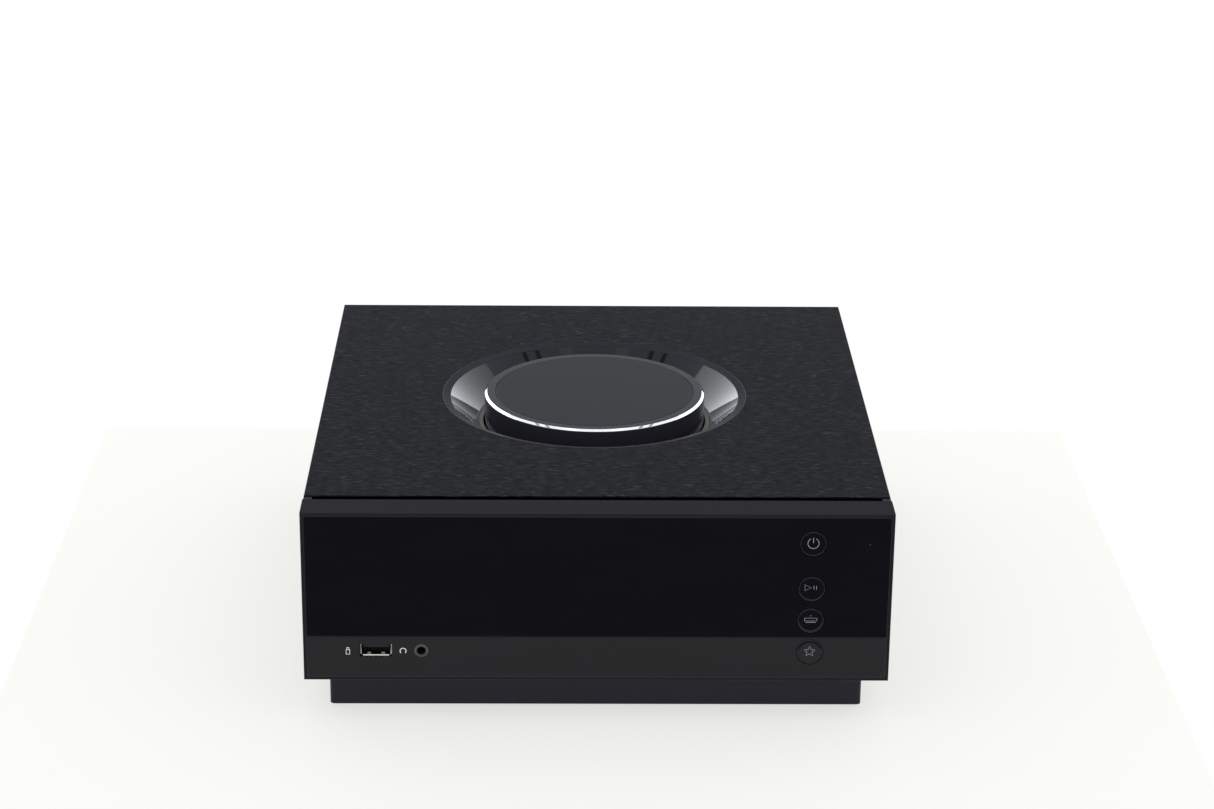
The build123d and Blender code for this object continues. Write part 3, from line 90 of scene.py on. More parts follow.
class Finish:
    """A material round one Principled shader. What is constant is set on the shader itself."""

    def __init__(self, name, **constants):
        self.material = bpy.data.materials.new(name)
        self.material.use_nodes = True
        self.tree = self.material.node_tree
        self.shader = self.tree.nodes["Principled BSDF"]
        for socket, value in constants.items():
            self.set(self.shader.inputs[socket.replace("_", " ")], value)

    def set(self, socket, value):
        if isinstance(value, Value):
            self.tree.links.new(value.socket, socket)
        elif isinstance(value, tuple) and len(value) == 3 and socket.type == "RGBA":
            socket.default_value = (*value, 1)
        else:
            socket.default_value = value

    def node(self, kind, settings, sockets, output=0):
        made = self.tree.nodes.new(kind)
        for name, setting in settings.items():
            setattr(made, name, setting)
        for name, value in sockets.items():
            self.set(made.inputs[name], value)
        return Value(self, made.outputs[output])

    def place(self, stretch):
        """The point on the object, in metres, scaled to set a pattern's size."""
        point = self.node("ShaderNodeTexCoord", {}, {}, "Object")
        return self.node("ShaderNodeMapping", {}, {"Vector": point, "Scale": stretch})

    def noise(self, stretch, detail=2.0, roughness=0.5):
        """Noise whose patches are about 1 / stretch metres along each axis."""
        sockets = {"Vector": self.place(stretch), "Scale": 1.0, "Detail": detail, "Roughness": roughness}
        return self.node("ShaderNodeTexNoise", {}, sockets)

    def specks(self, per_metre, size, share):
        """Small round dots in a share of the cells of a grid with that many cells a metre."""
        sockets = {"Vector": self.place((per_metre,) * 3), "Scale": 1.0}
        cell = self.node("ShaderNodeTexVoronoi", {}, sockets)
        colour = self.node("ShaderNodeTexVoronoi", {}, sockets, "Color")
        chosen = self.node("ShaderNodeSeparateColor", {}, {"Color": colour})
        return (1 - cell.within(size * 0.5, size)) * chosen.above(1 - share)

    def blend(self, amount, first, second):
        """The first colour where the amount is 0 and the second where it is 1."""
        sockets = {"Factor": amount, 6: first, 7: second}
        return self.node("ShaderNodeMix", {"data_type": "RGBA"}, sockets, 2)

    def colour(self, value):
        self.set(self.shader.inputs["Base Color"], value)

    def roughness(self, value):
        self.set(self.shader.inputs["Roughness"], value)

    def relief(self, height, depth_mm):
        """Bump from a height of 0 to 1, which stands for depth_mm."""
        sockets = {"Height": height, "Distance": depth_mm * MM, "Strength": 1.0}
        self.set(self.shader.inputs["Normal"], self.node("ShaderNodeBump", {}, sockets))


# ---- finishes ------------------------------------------------------------------------------------

def brushed_cover():
    """Black anodising over short brush strokes that run across the case. The brush grain is real, but its
    lighter strokes are painted only on upward faces, a painted sheen of the top, and a few bright dashes in
    them are painted glints.
    """
    made = Finish("cover_brushed", Specular_IOR_Level=0.024)
    strokes = made.noise((230, 950, 950), 4, 0.75)
    scratches = made.noise((420, 2300, 2300), 2, 0.6)
    # dashes: bright flecks along the strokes, painted glints
    dashes = made.noise((170, 1050, 1050), 1, 0.5).within(0.60, 0.74)
    cloud = made.noise((26, 40, 40), 2)
    facing = made.node("ShaderNodeTexCoord", {}, {}, "Normal")
    # only upward faces get the lighter strokes, so the top is painted lighter than the sides: painted sheen
    upward = made.node("ShaderNodeSeparateXYZ", {}, {"Vector": facing}, "Z").within(0.3, 0.95)
    tone = (strokes * 0.7 + scratches * 0.3).within(0.45, 0.63) * upward
    # stroke_sheen: real brush grain shown as lighter base colour, a painted sheen
    stroke_sheen = made.blend(tone, (0.0012, 0.0015, 0.0030), (0.025, 0.0255, 0.032))
    made.colour(made.blend(dashes * tone, stroke_sheen, (0.075, 0.077, 0.088)))
    made.roughness(0.33 + 0.10 * tone + 0.05 * cloud)
    made.relief(strokes * 0.6 + scratches * 0.4, 0.05)
    return made.material


def satin_black(name, tone, rough, specular, grain=2600, depth=0.006, blue=1.15):
    """Anodised or painted metal with a fine even grain."""
    made = Finish(name, Specular_IOR_Level=specular)
    fine = made.noise((grain,) * 3, 3)
    cloud = made.noise((35,) * 3, 3)
    dark = (tone * 0.85, tone * 0.86, tone * 0.88 * blue)
    light = (tone * 1.15, tone * 1.15, tone * 1.15 * blue)
    made.colour(made.blend(fine.within(0.3, 0.7), dark, light))
    made.roughness(rough + 0.10 * (fine - 0.5) + 0.08 * (cloud - 0.5))
    made.relief(fine, depth)
    return made.material


def polished_black(name, tone, rough, specular, dust=0.0, blue=1.25):
    """Smooth black with the faintest waviness, some wiping marks and a few specks of dust."""
    made = Finish(name, Specular_IOR_Level=specular)
    wipes = made.noise((30, 12, 70), 4, 0.6)
    haze = made.noise((900,) * 3, 2)
    dark = (tone * 0.9, tone * 0.92, tone * blue)
    base = made.blend(wipes.within(0.35, 0.75), dark, tuple(c * 1.25 for c in dark))
    if dust:
        base = made.blend(made.specks(160, 0.10, dust), base, (0.16, 0.16, 0.16))
    made.colour(base)
    made.roughness(rough + 0.05 * wipes.within(0.5, 0.9) + 0.01 * haze)
    return made.material


def plated(name, colour, rough):
    """Plated metal with drawing marks too fine to see one by one."""
    made = Finish(name, Metallic=1.0)
    fine = made.noise((1500, 1500, 5000), 2)
    dark = tuple(c * 0.8 for c in colour)
    made.colour(made.blend(fine.within(0.3, 0.7), dark, colour))
    made.roughness(rough + 0.12 * (fine - 0.5))
    made.relief(fine, 0.002)
    return made.material


def moulded(name, colour, rough=0.5, depth=0.01):
    """Moulded plastic or rubber with a spark-eroded grain."""
    made = Finish(name, Specular_IOR_Level=0.4)
    grainy = made.noise((1800,) * 3, 4, 0.6)
    lighter = tuple(c * 1.3 + 0.002 for c in colour)
    made.colour(made.blend(grainy.within(0.3, 0.7), colour, lighter))
    made.roughness(rough + 0.14 * (grainy - 0.5))
    made.relief(grainy, depth)
    return made.material


def powder_coat():
    """Fine-textured black paint on the folded steel."""
    made = Finish("rear_paint", Specular_IOR_Level=0.08)
    lumps = made.noise((1500,) * 3, 3, 0.6)
    made.colour(made.blend(lumps.within(0.3, 0.7), (0.020, 0.020, 0.022), (0.034, 0.034, 0.037)))
    made.roughness(0.55 + 0.15 * (lumps - 0.5))
    made.relief(lumps, 0.05)
    return made.material


def light_ring():
    """The milky ring at the foot of the dial, unlit."""
    made = Finish("light_diffuser", Specular_IOR_Level=0.4)
    milk = made.noise((300,) * 3, 3)
    made.colour(made.blend(milk.within(0.3, 0.7), (0.085, 0.088, 0.062), (0.115, 0.115, 0.085)))
    made.roughness(0.35 + 0.1 * (milk - 0.5))
    return made.material


def board_green():
    """Green lacquer over copper tracks."""
    made = Finish("circuit_board", Specular_IOR_Level=0.5)
    weave = made.noise((1200, 1200, 300), 2)
    tracks = made.noise((160, 520, 160), 1).within(0.52, 0.55)
    made.colour(made.blend(tracks * 0.6, (0.008, 0.055, 0.022), (0.018, 0.11, 0.045)))
    made.roughness(0.32 + 0.1 * weave)
    made.relief(tracks, 0.03)
    return made.material


def wound_tape():
    """The yellow tape round the transformer's winding."""
    made = Finish("winding", Specular_IOR_Level=0.5)
    turns = made.noise((700, 700, 90), 3)
    made.colour(made.blend(turns.within(0.35, 0.65), (0.28, 0.16, 0.03), (0.45, 0.28, 0.06)))
    made.roughness(0.3 + 0.15 * turns)
    made.relief(turns, 0.1)
    return made.material


SLOT_FINISHES = {
    "cover_brushed": brushed_cover(),
    "panel_black": satin_black("panel_black", 0.0165, 0.30, 0.018, blue=1.25),
    "sink_black": satin_black("sink_black", 0.012, 0.42, 0.20, grain=1800, depth=0.012),
    "front_glass": polished_black("front_glass", 0.0036, 0.03, 0.262, dust=0.012, blue=1.5),
    "key_gloss": polished_black("key_gloss", 0.0033, 0.035, 0.28, blue=1.7),
    "plinth_gloss": polished_black("plinth_gloss", 0.0035, 0.09, 0.275, dust=0.006, blue=3.0),
    "dish_polish": polished_black("dish_polish", 0.003, 0.025, 0.30, blue=1.9),
    "dial_black": polished_black("dial_black", 0.021, 0.07, 0.3),
    "dial_glass": satin_black("dial_glass", 0.017, 0.24, 0.088, grain=2200, depth=0.001),
    "bright_metal": plated("bright_metal", (0.96, 0.96, 0.97), 0.03),
    "trim_black": satin_black("trim_black", 0.011, 0.28, 0.06, blue=1.5),
    "light_diffuser": light_ring(),
    "steel": plated("steel", (0.55, 0.55, 0.56), 0.32),
    "rear_paint": powder_coat(),
    "circuit_board": board_green(),
    "winding": wound_tape(),
    "part_black": moulded("part_black", (0.012, 0.012, 0.012), 0.42),
    "sleeve_blue": moulded("sleeve_blue", (0.012, 0.02, 0.07), 0.3, depth=0.004),
    "socket_nickel": plated("socket_nickel", (0.72, 0.71, 0.69), 0.22),
    "socket_gold": plated("socket_gold", (0.83, 0.62, 0.27), 0.2),
    "rubber_black": moulded("rubber_black", (0.014, 0.014, 0.014), 0.75, depth=0.03),
    "screen_glass": polished_black("screen_glass", 0.003, 0.05, 0.4),
    "ribbon_grey": moulded("ribbon_grey", (0.30, 0.30, 0.31), 0.5),
}
PRINT_GREY = moulded("print_grey", (0.23, 0.24, 0.26), 0.45, depth=0.001)
PRINT_WHITE = moulded("print_white", (0.62, 0.62, 0.60), 0.5, depth=0.001)
RING_EDGE = satin_black("ring_edge", 0.028, 0.3, 0.25)
# A lighter copy of trim_black for the bead on the trim ring's edge: a painted highlight
TRIM_HIGHLIGHT = satin_black("trim_painted_highlight", 0.028, 0.4, 0.08)
TIN_LIP = plated("tin_lip", (0.93, 0.92, 0.90), 0.12)
SPRING_BRASS = plated("spring_brass", (0.62, 0.50, 0.30), 0.25)
SOCKET_RING = satin_black("socket_ring", 0.06, 0.25, 0.5)
SOCKET_RED = moulded("socket_red", (0.42, 0.012, 0.010), 0.35, depth=0.004)
SOCKET_WHITE = moulded("socket_white", (0.62, 0.62, 0.60), 0.35, depth=0.004)
SOCKET_ORANGE = moulded("socket_orange", (0.62, 0.16, 0.012), 0.35, depth=0.004)

slot_of = {row["node"]: row["material_slot"] for row in frame["record"]["subparts"]}
for name, node in nodes.items():
    node.data.materials.clear()
    node.data.materials.append(SLOT_FINISHES[slot_of[name]])


# ---- making pieces -------------------------------------------------------------------------------

SHARP_FROM = math.radians(35)     # faces that meet at less than this are shaded as one
SAME_POINT = 1e-7                 # metres
ALONG_Y = (0, 1, 0)
AGAINST_Y = (0, -1, 0)
DOWN = (0, 0, -1)
RIGHT = (1, 0, 0)


def middle_of(low, high):
    return (low + high) / 2


def radius_of(low, high):
    """Half the width across x, in mm."""
    return (high.x - low.x) / 2 / MM


def finish_piece(name, mesh, material, body, replaced=()):
    """Puts a finished bmesh on a body, smooth except where it turns sharply."""
    bmesh.ops.remove_doubles(mesh, verts=mesh.verts, dist=SAME_POINT)
    bmesh.ops.recalc_face_normals(mesh, faces=mesh.faces)
    data = bpy.data.meshes.new(name)
    mesh.to_mesh(data)
    mesh.free()
    data.shade_smooth()
    data.set_sharp_from_angle(angle=SHARP_FROM)
    data.materials.append(material)
    piece = bpy.data.objects.new(name, data)
    bpy.context.scene.collection.objects.link(piece)
    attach(piece, body)
    if replaced:
        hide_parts(*replaced)
    even = piece.modifiers.new("even_shading", "WEIGHTED_NORMAL")
    even.keep_sharp = True


def round_off(mesh, width, segments=3, over_deg=28):
    """Bevels every edge that turns by more than over_deg."""
    bmesh.ops.recalc_face_normals(mesh, faces=mesh.faces)
    limit = math.radians(over_deg)
    sharp = [e for e in mesh.edges if len(e.link_faces) == 2 and e.calc_face_angle(0) > limit]
    bmesh.ops.bevel(mesh, geom=sharp, offset=width * MM, offset_type="OFFSET", segments=segments,
                    affect="EDGES", profile=0.5, material=-1, clamp_overlap=True)


def turned(outline, axis_point, axis, across, steps, closed=True):
    """A bmesh turned about an axis from (radius, depth) points in mm; depth runs along the axis."""
    mesh = bmesh.new()
    along = Vector(axis)
    sideways = Vector(across)
    corners = [mesh.verts.new(Vector(axis_point) + sideways * radius * MM + along * depth * MM)
               for radius, depth in outline]
    pairs = list(zip(corners, corners[1:]))
    if closed:
        pairs.append((corners[-1], corners[0]))
    edges = [mesh.edges.new(pair) for pair in pairs]
    bmesh.ops.spin(mesh, geom=corners + edges, cent=axis_point, axis=axis, angle=math.tau,
                   steps=steps, use_merge=True)
    bmesh.ops.remove_doubles(mesh, verts=mesh.verts, dist=SAME_POINT)
    return mesh


def box_mesh(low, high):
    """A bmesh box between two corners in metres."""
    mesh = bmesh.new()
    low, high = Vector(low), Vector(high)
    middle = Matrix.Translation((low + high) / 2)
    size = Matrix.Diagonal((*(high - low), 1))
    bmesh.ops.create_cube(mesh, size=1, matrix=middle @ size)
    return mesh


INK_THICKNESS = 0.06              # mm
INK_LIFT = 0.01 * MM              # middle of the ink off the face that it is printed on


def drawn(name, strokes, width, origin, material, body):
    """Line art on a front or rear face: strokes of (x, z) points in mm, each open or closed."""
    curve = bpy.data.curves.new(name, "CURVE")
    curve.dimensions = "3D"
    curve.bevel_depth = width / 2 * MM
    curve.bevel_resolution = 2
    curve.use_fill_caps = True
    for points, closed in strokes:
        spline = curve.splines.new("POLY")
        spline.points.add(len(points) - 1)
        for point, (x, z) in zip(spline.points, points):
            point.co = (x * MM, 0, z * MM, 1)
        spline.use_cyclic_u = closed
    holder = bpy.data.objects.new(name + "_line", curve)
    bpy.context.scene.collection.objects.link(holder)
    data = bpy.data.meshes.new_from_object(holder)
    bpy.data.objects.remove(holder)
    mesh = bmesh.new()
    mesh.from_mesh(data)
    bpy.data.meshes.remove(data)
    flat = Matrix.Translation(origin) @ Matrix.Diagonal((1, INK_THICKNESS / width, 1, 1))
    bmesh.ops.transform(mesh, matrix=flat, verts=mesh.verts)
    finish_piece(name, mesh, material, body)


def arc(radius, start, end, count=24, centre=(0, 0)):
    """Points on an arc from start to end degrees, anticlockwise from +x."""
    angles = [math.radians(start + (end - start) * i / (count - 1)) for i in range(count)]
    return [(centre[0] + radius * math.cos(a), centre[1] + radius * math.sin(a)) for a in angles]


# ---- the dial and its dish -----------------------------------------------------------------------

ring_low, ring_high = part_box("trim_ring")
cap_low, cap_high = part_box("dial_cap")
bevel_low, bevel_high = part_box("dial_bevel")
dish_low, dish_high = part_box("dial_dish")
guide_low, guide_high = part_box("light_guide")

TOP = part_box("top_cover")[1].z
DIAL_CENTRE = Vector(((ring_low.x + ring_high.x) / 2, (ring_low.y + ring_high.y) / 2, TOP))
DIAL_STEPS = 240


def depth_of(z):
    """How far below the cover's top a height is, in mm."""
    return (TOP - z) / MM


def dial_turned(outline, closed=True):
    return turned(outline, DIAL_CENTRE, DOWN, RIGHT, DIAL_STEPS, closed)


TRIM_R = radius_of(ring_low, ring_high)
TRIM_WIDTH = 3.6
TRIM_FOOT = depth_of(ring_low.z)
BEAD_WIDTH = 0.36
BEAD_RISE = 0.12
DIAL_TOP = depth_of(cap_high.z)
BEVEL_R = radius_of(bevel_low, bevel_high)
BEVEL_WIDTH = 1.1
BEVEL_BAND = 0.2
BRIGHT_SHARE = 0.84               # the polished share of the bevel's slope
CAP_R = radius_of(cap_low, cap_high)
CAP_GAP = 0.25
RIM_THICKNESS = 3.8
SKIRT_WALL = 2.5
SKIRT_FOOT = 13.4
SKIRT_FLARE = 0.4
HUB_R = 12.0
SHAFT_R = 5.0
GUIDE_R = radius_of(guide_low, guide_high)
GUIDE_WALL = 2.0
GUIDE_TOP = depth_of(guide_high.z)
DISH_RIM = TRIM_R - TRIM_WIDTH
DISH_RIM_DEPTH = depth_of(dish_high.z)
DISH_FOOT = GUIDE_R + 0.9
DISH_WALL = 1.6


def trim_ring():
    outline = [(TRIM_R, 0.0), (TRIM_R, TRIM_FOOT), (DISH_RIM, TRIM_FOOT), (DISH_RIM, DISH_RIM_DEPTH),
               (TRIM_R - 0.5, 0.0)]
    mesh = dial_turned(outline)
    round_off(mesh, 0.12, 2, 12)
    finish_piece("trim_ring_turned", mesh, SLOT_FINISHES["trim_black"], "case", ["trim_ring"])
    # The bead round the outer edge is a raised lip in the lighter trim material; its lighter tone is a
    # painted highlight of the edge
    bead = [(TRIM_R - BEAD_WIDTH, 0.02), (TRIM_R - 0.30, -0.08), (TRIM_R - BEAD_WIDTH / 2, -BEAD_RISE),
            (TRIM_R - 0.06, -0.08), (TRIM_R, 0.02), (TRIM_R - BEAD_WIDTH / 2, 0.10)]
    finish_piece("trim_ring_bead", dial_turned(bead), TRIM_HIGHLIGHT, "case")


def dish():
    """A straight polished cone with a flange that hangs under the trim ring."""
    flange_r = radius_of(dish_low, dish_high)
    low = depth_of(dish_low.z)
    outline = [(DISH_RIM, DISH_RIM_DEPTH), (DISH_FOOT, GUIDE_TOP), (GUIDE_R, GUIDE_TOP), (GUIDE_R, low),
               (DISH_FOOT + DISH_WALL, low), (DISH_RIM + DISH_WALL, TRIM_FOOT + DISH_WALL),
               (flange_r, TRIM_FOOT + DISH_WALL), (flange_r, TRIM_FOOT), (DISH_RIM, TRIM_FOOT)]
    mesh = dial_turned(outline)
    round_off(mesh, 0.15, 3)
    finish_piece("dish_polished", mesh, SLOT_FINISHES["dish_polish"], "case", ["dial_dish"])


def light_guide():
    low = depth_of(guide_low.z)
    inner = GUIDE_R - GUIDE_WALL
    outline = [(inner, GUIDE_TOP), (GUIDE_R, GUIDE_TOP), (GUIDE_R, low), (inner, low)]
    mesh = dial_turned(outline)
    round_off(mesh, 0.25, 3)
    finish_piece("light_guide_ring", mesh, SLOT_FINISHES["light_diffuser"], "case",
                 ["light_guide"])


def dial():
    """The body with its skirt, the bright edge and the cap, all turned about one axis."""
    hub_foot = depth_of(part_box("dial_body")[0].z)
    wide = BEVEL_R - BEVEL_WIDTH
    rim = CAP_R + CAP_GAP
    foot = depth_of(bevel_low.z)
    edge = foot - BEVEL_BAND
    bright_r = wide + (BEVEL_R - wide) * BRIGHT_SHARE
    bright_foot = DIAL_TOP + (edge - DIAL_TOP) * BRIGHT_SHARE
    flare = [(BEVEL_R, SKIRT_FOOT - 2.2), (BEVEL_R + 0.05, SKIRT_FOOT - 1.5),
             (BEVEL_R + 0.16, SKIRT_FOOT - 0.8), (BEVEL_R + SKIRT_FLARE, SKIRT_FOOT)]
    outline = [(rim, DIAL_TOP), (wide, DIAL_TOP), (wide, foot), (bright_r, foot), (bright_r, bright_foot),
               (BEVEL_R, edge), *flare, (BEVEL_R - SKIRT_WALL, SKIRT_FOOT),
               (BEVEL_R - SKIRT_WALL, RIM_THICKNESS), (HUB_R, RIM_THICKNESS), (HUB_R, hub_foot),
               (SHAFT_R, hub_foot), (SHAFT_R, 0.8), (rim, 0.8)]
    mesh = dial_turned(outline)
    round_off(mesh, 0.1, 2, 40)
    finish_piece("dial_turned", mesh, SLOT_FINISHES["dial_black"], "dial", ["dial_body"])
    mesh = dial_turned([(wide, DIAL_TOP), (bright_r, bright_foot), (bright_r, foot), (wide, foot)])
    round_off(mesh, 0.08, 2, 40)
    finish_piece("dial_bright_edge", mesh, SLOT_FINISHES["bright_metal"], "dial",
                 ["dial_bevel"])
    seat = depth_of(cap_low.z)
    cap = [(0, DIAL_TOP), (CAP_R - 1.5, DIAL_TOP), (CAP_R, DIAL_TOP), (CAP_R, seat), (0, seat)]
    mesh = dial_turned(cap, closed=False)
    round_off(mesh, 0.12, 3, 40)
    finish_piece("dial_cap_disc", mesh, SLOT_FINISHES["dial_glass"], "dial", ["dial_cap"])


# ---- the keys and their signs --------------------------------------------------------------------

glass_low, glass_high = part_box("front_glass")
GLASS_FACE = glass_low.y


def star(points, outer, inner):
    """Corners of a star with one point upwards."""
    spokes = [(outer if i % 2 == 0 else inner, 90 + 180 * i / points) for i in range(2 * points)]
    return [(r * math.cos(math.radians(a)), r * math.sin(math.radians(a))) for r, a in spokes]


def shifted(points, x, z):
    return [(px + x, pz + z) for px, pz in points]


# For each key, its strokes and their width in mm.
KEY_SIGNS = {
    "power_key": ([(shifted(arc(2.3, 118, 422, 32), 0, 0.35), False),
                   ([(0, 0.45), (0, 2.85)], False)], 0.28),
    "play_key": ([([(-2.9, 2.1), (-2.9, -0.6), (-0.2, 0.75)], True), ([(0.85, 1.6), (0.85, -0.1)], False),
                  ([(1.95, 1.6), (1.95, -0.1)], False)], 0.22),
    "input_key": ([([(-2.6, 1.25), (2.6, 1.25), (2.6, 0.0), (-2.6, 0.0)], True),
                   ([(-2.1, -0.65), (2.1, -0.65)], False), ([(0, 2.2), (0, 2.6)], False)], 0.24),
    "favourite_key": ([(shifted(star(5, 2.45, 1.1), 0, 0.25), True)], 0.27),
}
KEY_FLANGE = 1.1                  # how far the flange stands out past the cap
KEY_FLANGE_FRONT = 2.05           # just behind the back of the glass
KEY_FLANGE_THICKNESS = 0.8
KEY_STEM_R = 2.0
KEY_STEPS = 96


def key_face(name):
    """A polished round key with a satin line round its edge and a printed sign."""
    low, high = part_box(name)
    middle = middle_of(low, high)
    radius = radius_of(low, high)
    face = radius - KEY_FLANGE
    flange_back = KEY_FLANGE_FRONT + KEY_FLANGE_THICKNESS
    centre = Vector((middle.x, low.y, middle.z))
    length = (high.y - low.y) / MM
    outline = [(0, 0.03), (face - 1.2, 0.02), (face - 0.5, 0.0), (face, 0.22), (face, KEY_FLANGE_FRONT),
               (radius, KEY_FLANGE_FRONT), (radius, flange_back), (KEY_STEM_R, flange_back),
               (KEY_STEM_R, length), (0, length)]
    mesh = turned(outline, centre, ALONG_Y, RIGHT, KEY_STEPS, closed=False)
    round_off(mesh, 0.06, 2, 50)
    finish_piece(name + "_turned", mesh, SLOT_FINISHES["key_gloss"], name, [name])
    strokes, width = KEY_SIGNS[name]
    printed = (middle.x, low.y - INK_LIFT, middle.z)
    drawn(name + "_sign", strokes, width, printed, PRINT_GREY, name)
    edge = [(face - 0.27, 0.10), (face - 0.27, 0.02), (face - 0.20, -0.03), (face - 0.10, -0.01),
            (face + 0.02, 0.16), (face + 0.02, 0.30)]
    mesh = turned(edge, centre, ALONG_Y, RIGHT, KEY_STEPS)
    finish_piece(name + "_edge_line", mesh, RING_EDGE, name)


# ---- the sockets in the glass --------------------------------------------------------------------

def islands(name):
    """The box of each separate solid in a node, from left to right."""
    mesh = bmesh.new()
    mesh.from_mesh(nodes[name].data)
    bmesh.ops.remove_doubles(mesh, verts=mesh.verts, dist=1e-6)
    left = set(mesh.verts)
    boxes = []
    while left:
        grown = [left.pop()]
        for corner in grown:
            near = {edge.other_vert(corner) for edge in corner.link_edges} & left
            left -= near
            grown.extend(near)
        places = [corner.co for corner in grown]
        boxes.append((Vector(map(min, zip(*places))), Vector(map(max, zip(*places)))))
    mesh.free()
    return sorted(boxes, key=lambda box: box[0].x)


def rounded(half_width, half_height, radius, steps=5):
    """Corners of a rounded rectangle about the origin, in mm."""
    wide, high = half_width - radius, half_height - radius
    quarters = [((wide, high), 0), ((-wide, high), 90), ((-wide, -high), 180), ((wide, -high), 270)]
    return [point for centre, start in quarters for point in arc(radius, start, start + 90, steps, centre)]


def pressed(outline, wall, centre, length):
    """A tube of the outline's section, its mouth at the centre point and its length along +Y."""
    mesh = bmesh.new()
    corners = [mesh.verts.new(Vector(centre) + Vector((x, 0, z)) * MM) for x, z in outline]
    face = mesh.faces.new(corners)
    mesh.normal_update()
    bmesh.ops.inset_region(mesh, faces=[face], use_boundary=True, use_even_offset=True, thickness=wall * MM)
    bmesh.ops.delete(mesh, geom=[face], context="FACES_ONLY")
    grown = bmesh.ops.extrude_face_region(mesh, geom=mesh.faces[:])["geom"]
    moved = [item for item in grown if isinstance(item, bmesh.types.BMVert)]
    bmesh.ops.translate(mesh, verts=moved, vec=(0, length * MM, 0))
    return mesh


USB_WALL = 0.35
USB_MOUTH_INSET = 0.5 * MM        # the spring and the lip start this far behind the glass
USB_SHELL_INSET = 1.0 * MM        # and the shell's rim this much further in
USB_INSULATOR_DEPTH = (7.5 * MM, 9.0 * MM)
USB_LIP_HALF = 5.4 * MM
USB_SPRING_FROM_MIDDLE = 2.9 * MM
USB_SPRING_HALF = 0.8 * MM
USB_SIDE_SPRING_AT = 6.15 * MM
USB_SIDE_SPRING_HALF = 0.14 * MM


def front_usb():
    """The square socket: shell, insulator, bright lower lip and four springs."""
    low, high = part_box("front_usb_shell")
    middle = middle_of(low, high)
    x, z = middle.x, middle.z
    half_width = radius_of(low, high)
    half_height = (high.z - low.z) / 2 / MM
    mouth = low.y + USB_MOUTH_INSET
    rim = mouth + USB_SHELL_INSET
    shell = pressed(rounded(half_width, half_height, 0.9), USB_WALL, (x, rim, z), (high.y - rim) / MM)
    round_off(shell, 0.08, 2, 50)
    finish_piece("usb_shell_pressed", shell, SLOT_FINISHES["socket_nickel"], "case",
                 ["front_usb_shell"])
    inside = Vector((half_width - 0.4, 0, half_height - 0.4)) * MM
    near, far = (Vector((x, mouth + depth, z)) for depth in USB_INSULATOR_DEPTH)
    back = box_mesh(near - inside, far + inside)
    round_off(back, 0.2, 2)
    finish_piece("usb_insulator", back, SLOT_FINISHES["part_black"], "case")
    floor = z - (half_height - USB_WALL) * MM
    lip = box_mesh((x - USB_LIP_HALF, mouth - 0.25 * MM, floor),
                   (x + USB_LIP_HALF, mouth + 2.6 * MM, floor + 0.6 * MM))
    edge = [e for e in lip.edges if all(v.co.y < mouth and v.co.z > floor + 0.1 * MM for v in e.verts)]
    bmesh.ops.bevel(lip, geom=edge, offset=0.42 * MM, offset_type="OFFSET", segments=3, affect="EDGES",
                    profile=0.5, material=-1)
    finish_piece("usb_lower_lip", lip, TIN_LIP, "case")
    for side, name in ((-1, "left"), (1, "right")):
        at = x + side * USB_SPRING_FROM_MIDDLE
        spring = box_mesh((at - USB_SPRING_HALF, mouth + 1.0 * MM, floor + 0.7 * MM),
                          (at + USB_SPRING_HALF, mouth + 3.4 * MM, floor + 1.15 * MM))
        round_off(spring, 0.2, 2)
        finish_piece("usb_spring_" + name, spring, SPRING_BRASS, "case")
        at = x + side * USB_SIDE_SPRING_AT
        wall = box_mesh((at - USB_SIDE_SPRING_HALF, mouth - 0.1 * MM, z - 1.8 * MM),
                        (at + USB_SIDE_SPRING_HALF, mouth + 3.0 * MM, z + 1.3 * MM))
        round_off(wall, 0.15, 2)
        finish_piece("usb_side_spring_" + name, wall, SPRING_BRASS, "case")


def glass_edge():
    """A thin frame of the lighter edge material on the face of the glass, which shows as a thin line inside
    the bezel: the edge is real, its lighter tone a painted highlight.
    """
    middle = middle_of(glass_low, glass_high)
    half_height = (glass_high.z - glass_low.z) / 2 / MM
    outline = rounded(radius_of(glass_low, glass_high), half_height, 0.4)
    line = pressed(outline, 0.3, (middle.x, GLASS_FACE - 0.02 * MM, middle.z), 0.3)
    finish_piece("glass_edge_highlight", line, RING_EDGE, "case")


def headphone_socket():
    """A bright ring on the glass and a dark sleeve inside it, level with the square socket."""
    x = middle_of(*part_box("headphone_jack")).x
    centre = Vector((x, GLASS_FACE, middle_of(*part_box("front_usb_shell")).z))
    ring = [(1.95, 0.3), (2.05, 0.02), (2.25, -0.10), (2.75, -0.12), (2.92, 0.0), (2.92, 0.3)]
    mesh = turned(ring, centre, ALONG_Y, RIGHT, 96)
    finish_piece("headphone_ring", mesh, SOCKET_RING, "case")
    sleeve = [(1.95, 0.05), (1.95, 3.0), (1.76, 3.0), (1.76, 0.25)]
    mesh = turned(sleeve, centre, ALONG_Y, RIGHT, 64)
    finish_piece("headphone_sleeve", mesh, SLOT_FINISHES["part_black"], "case")


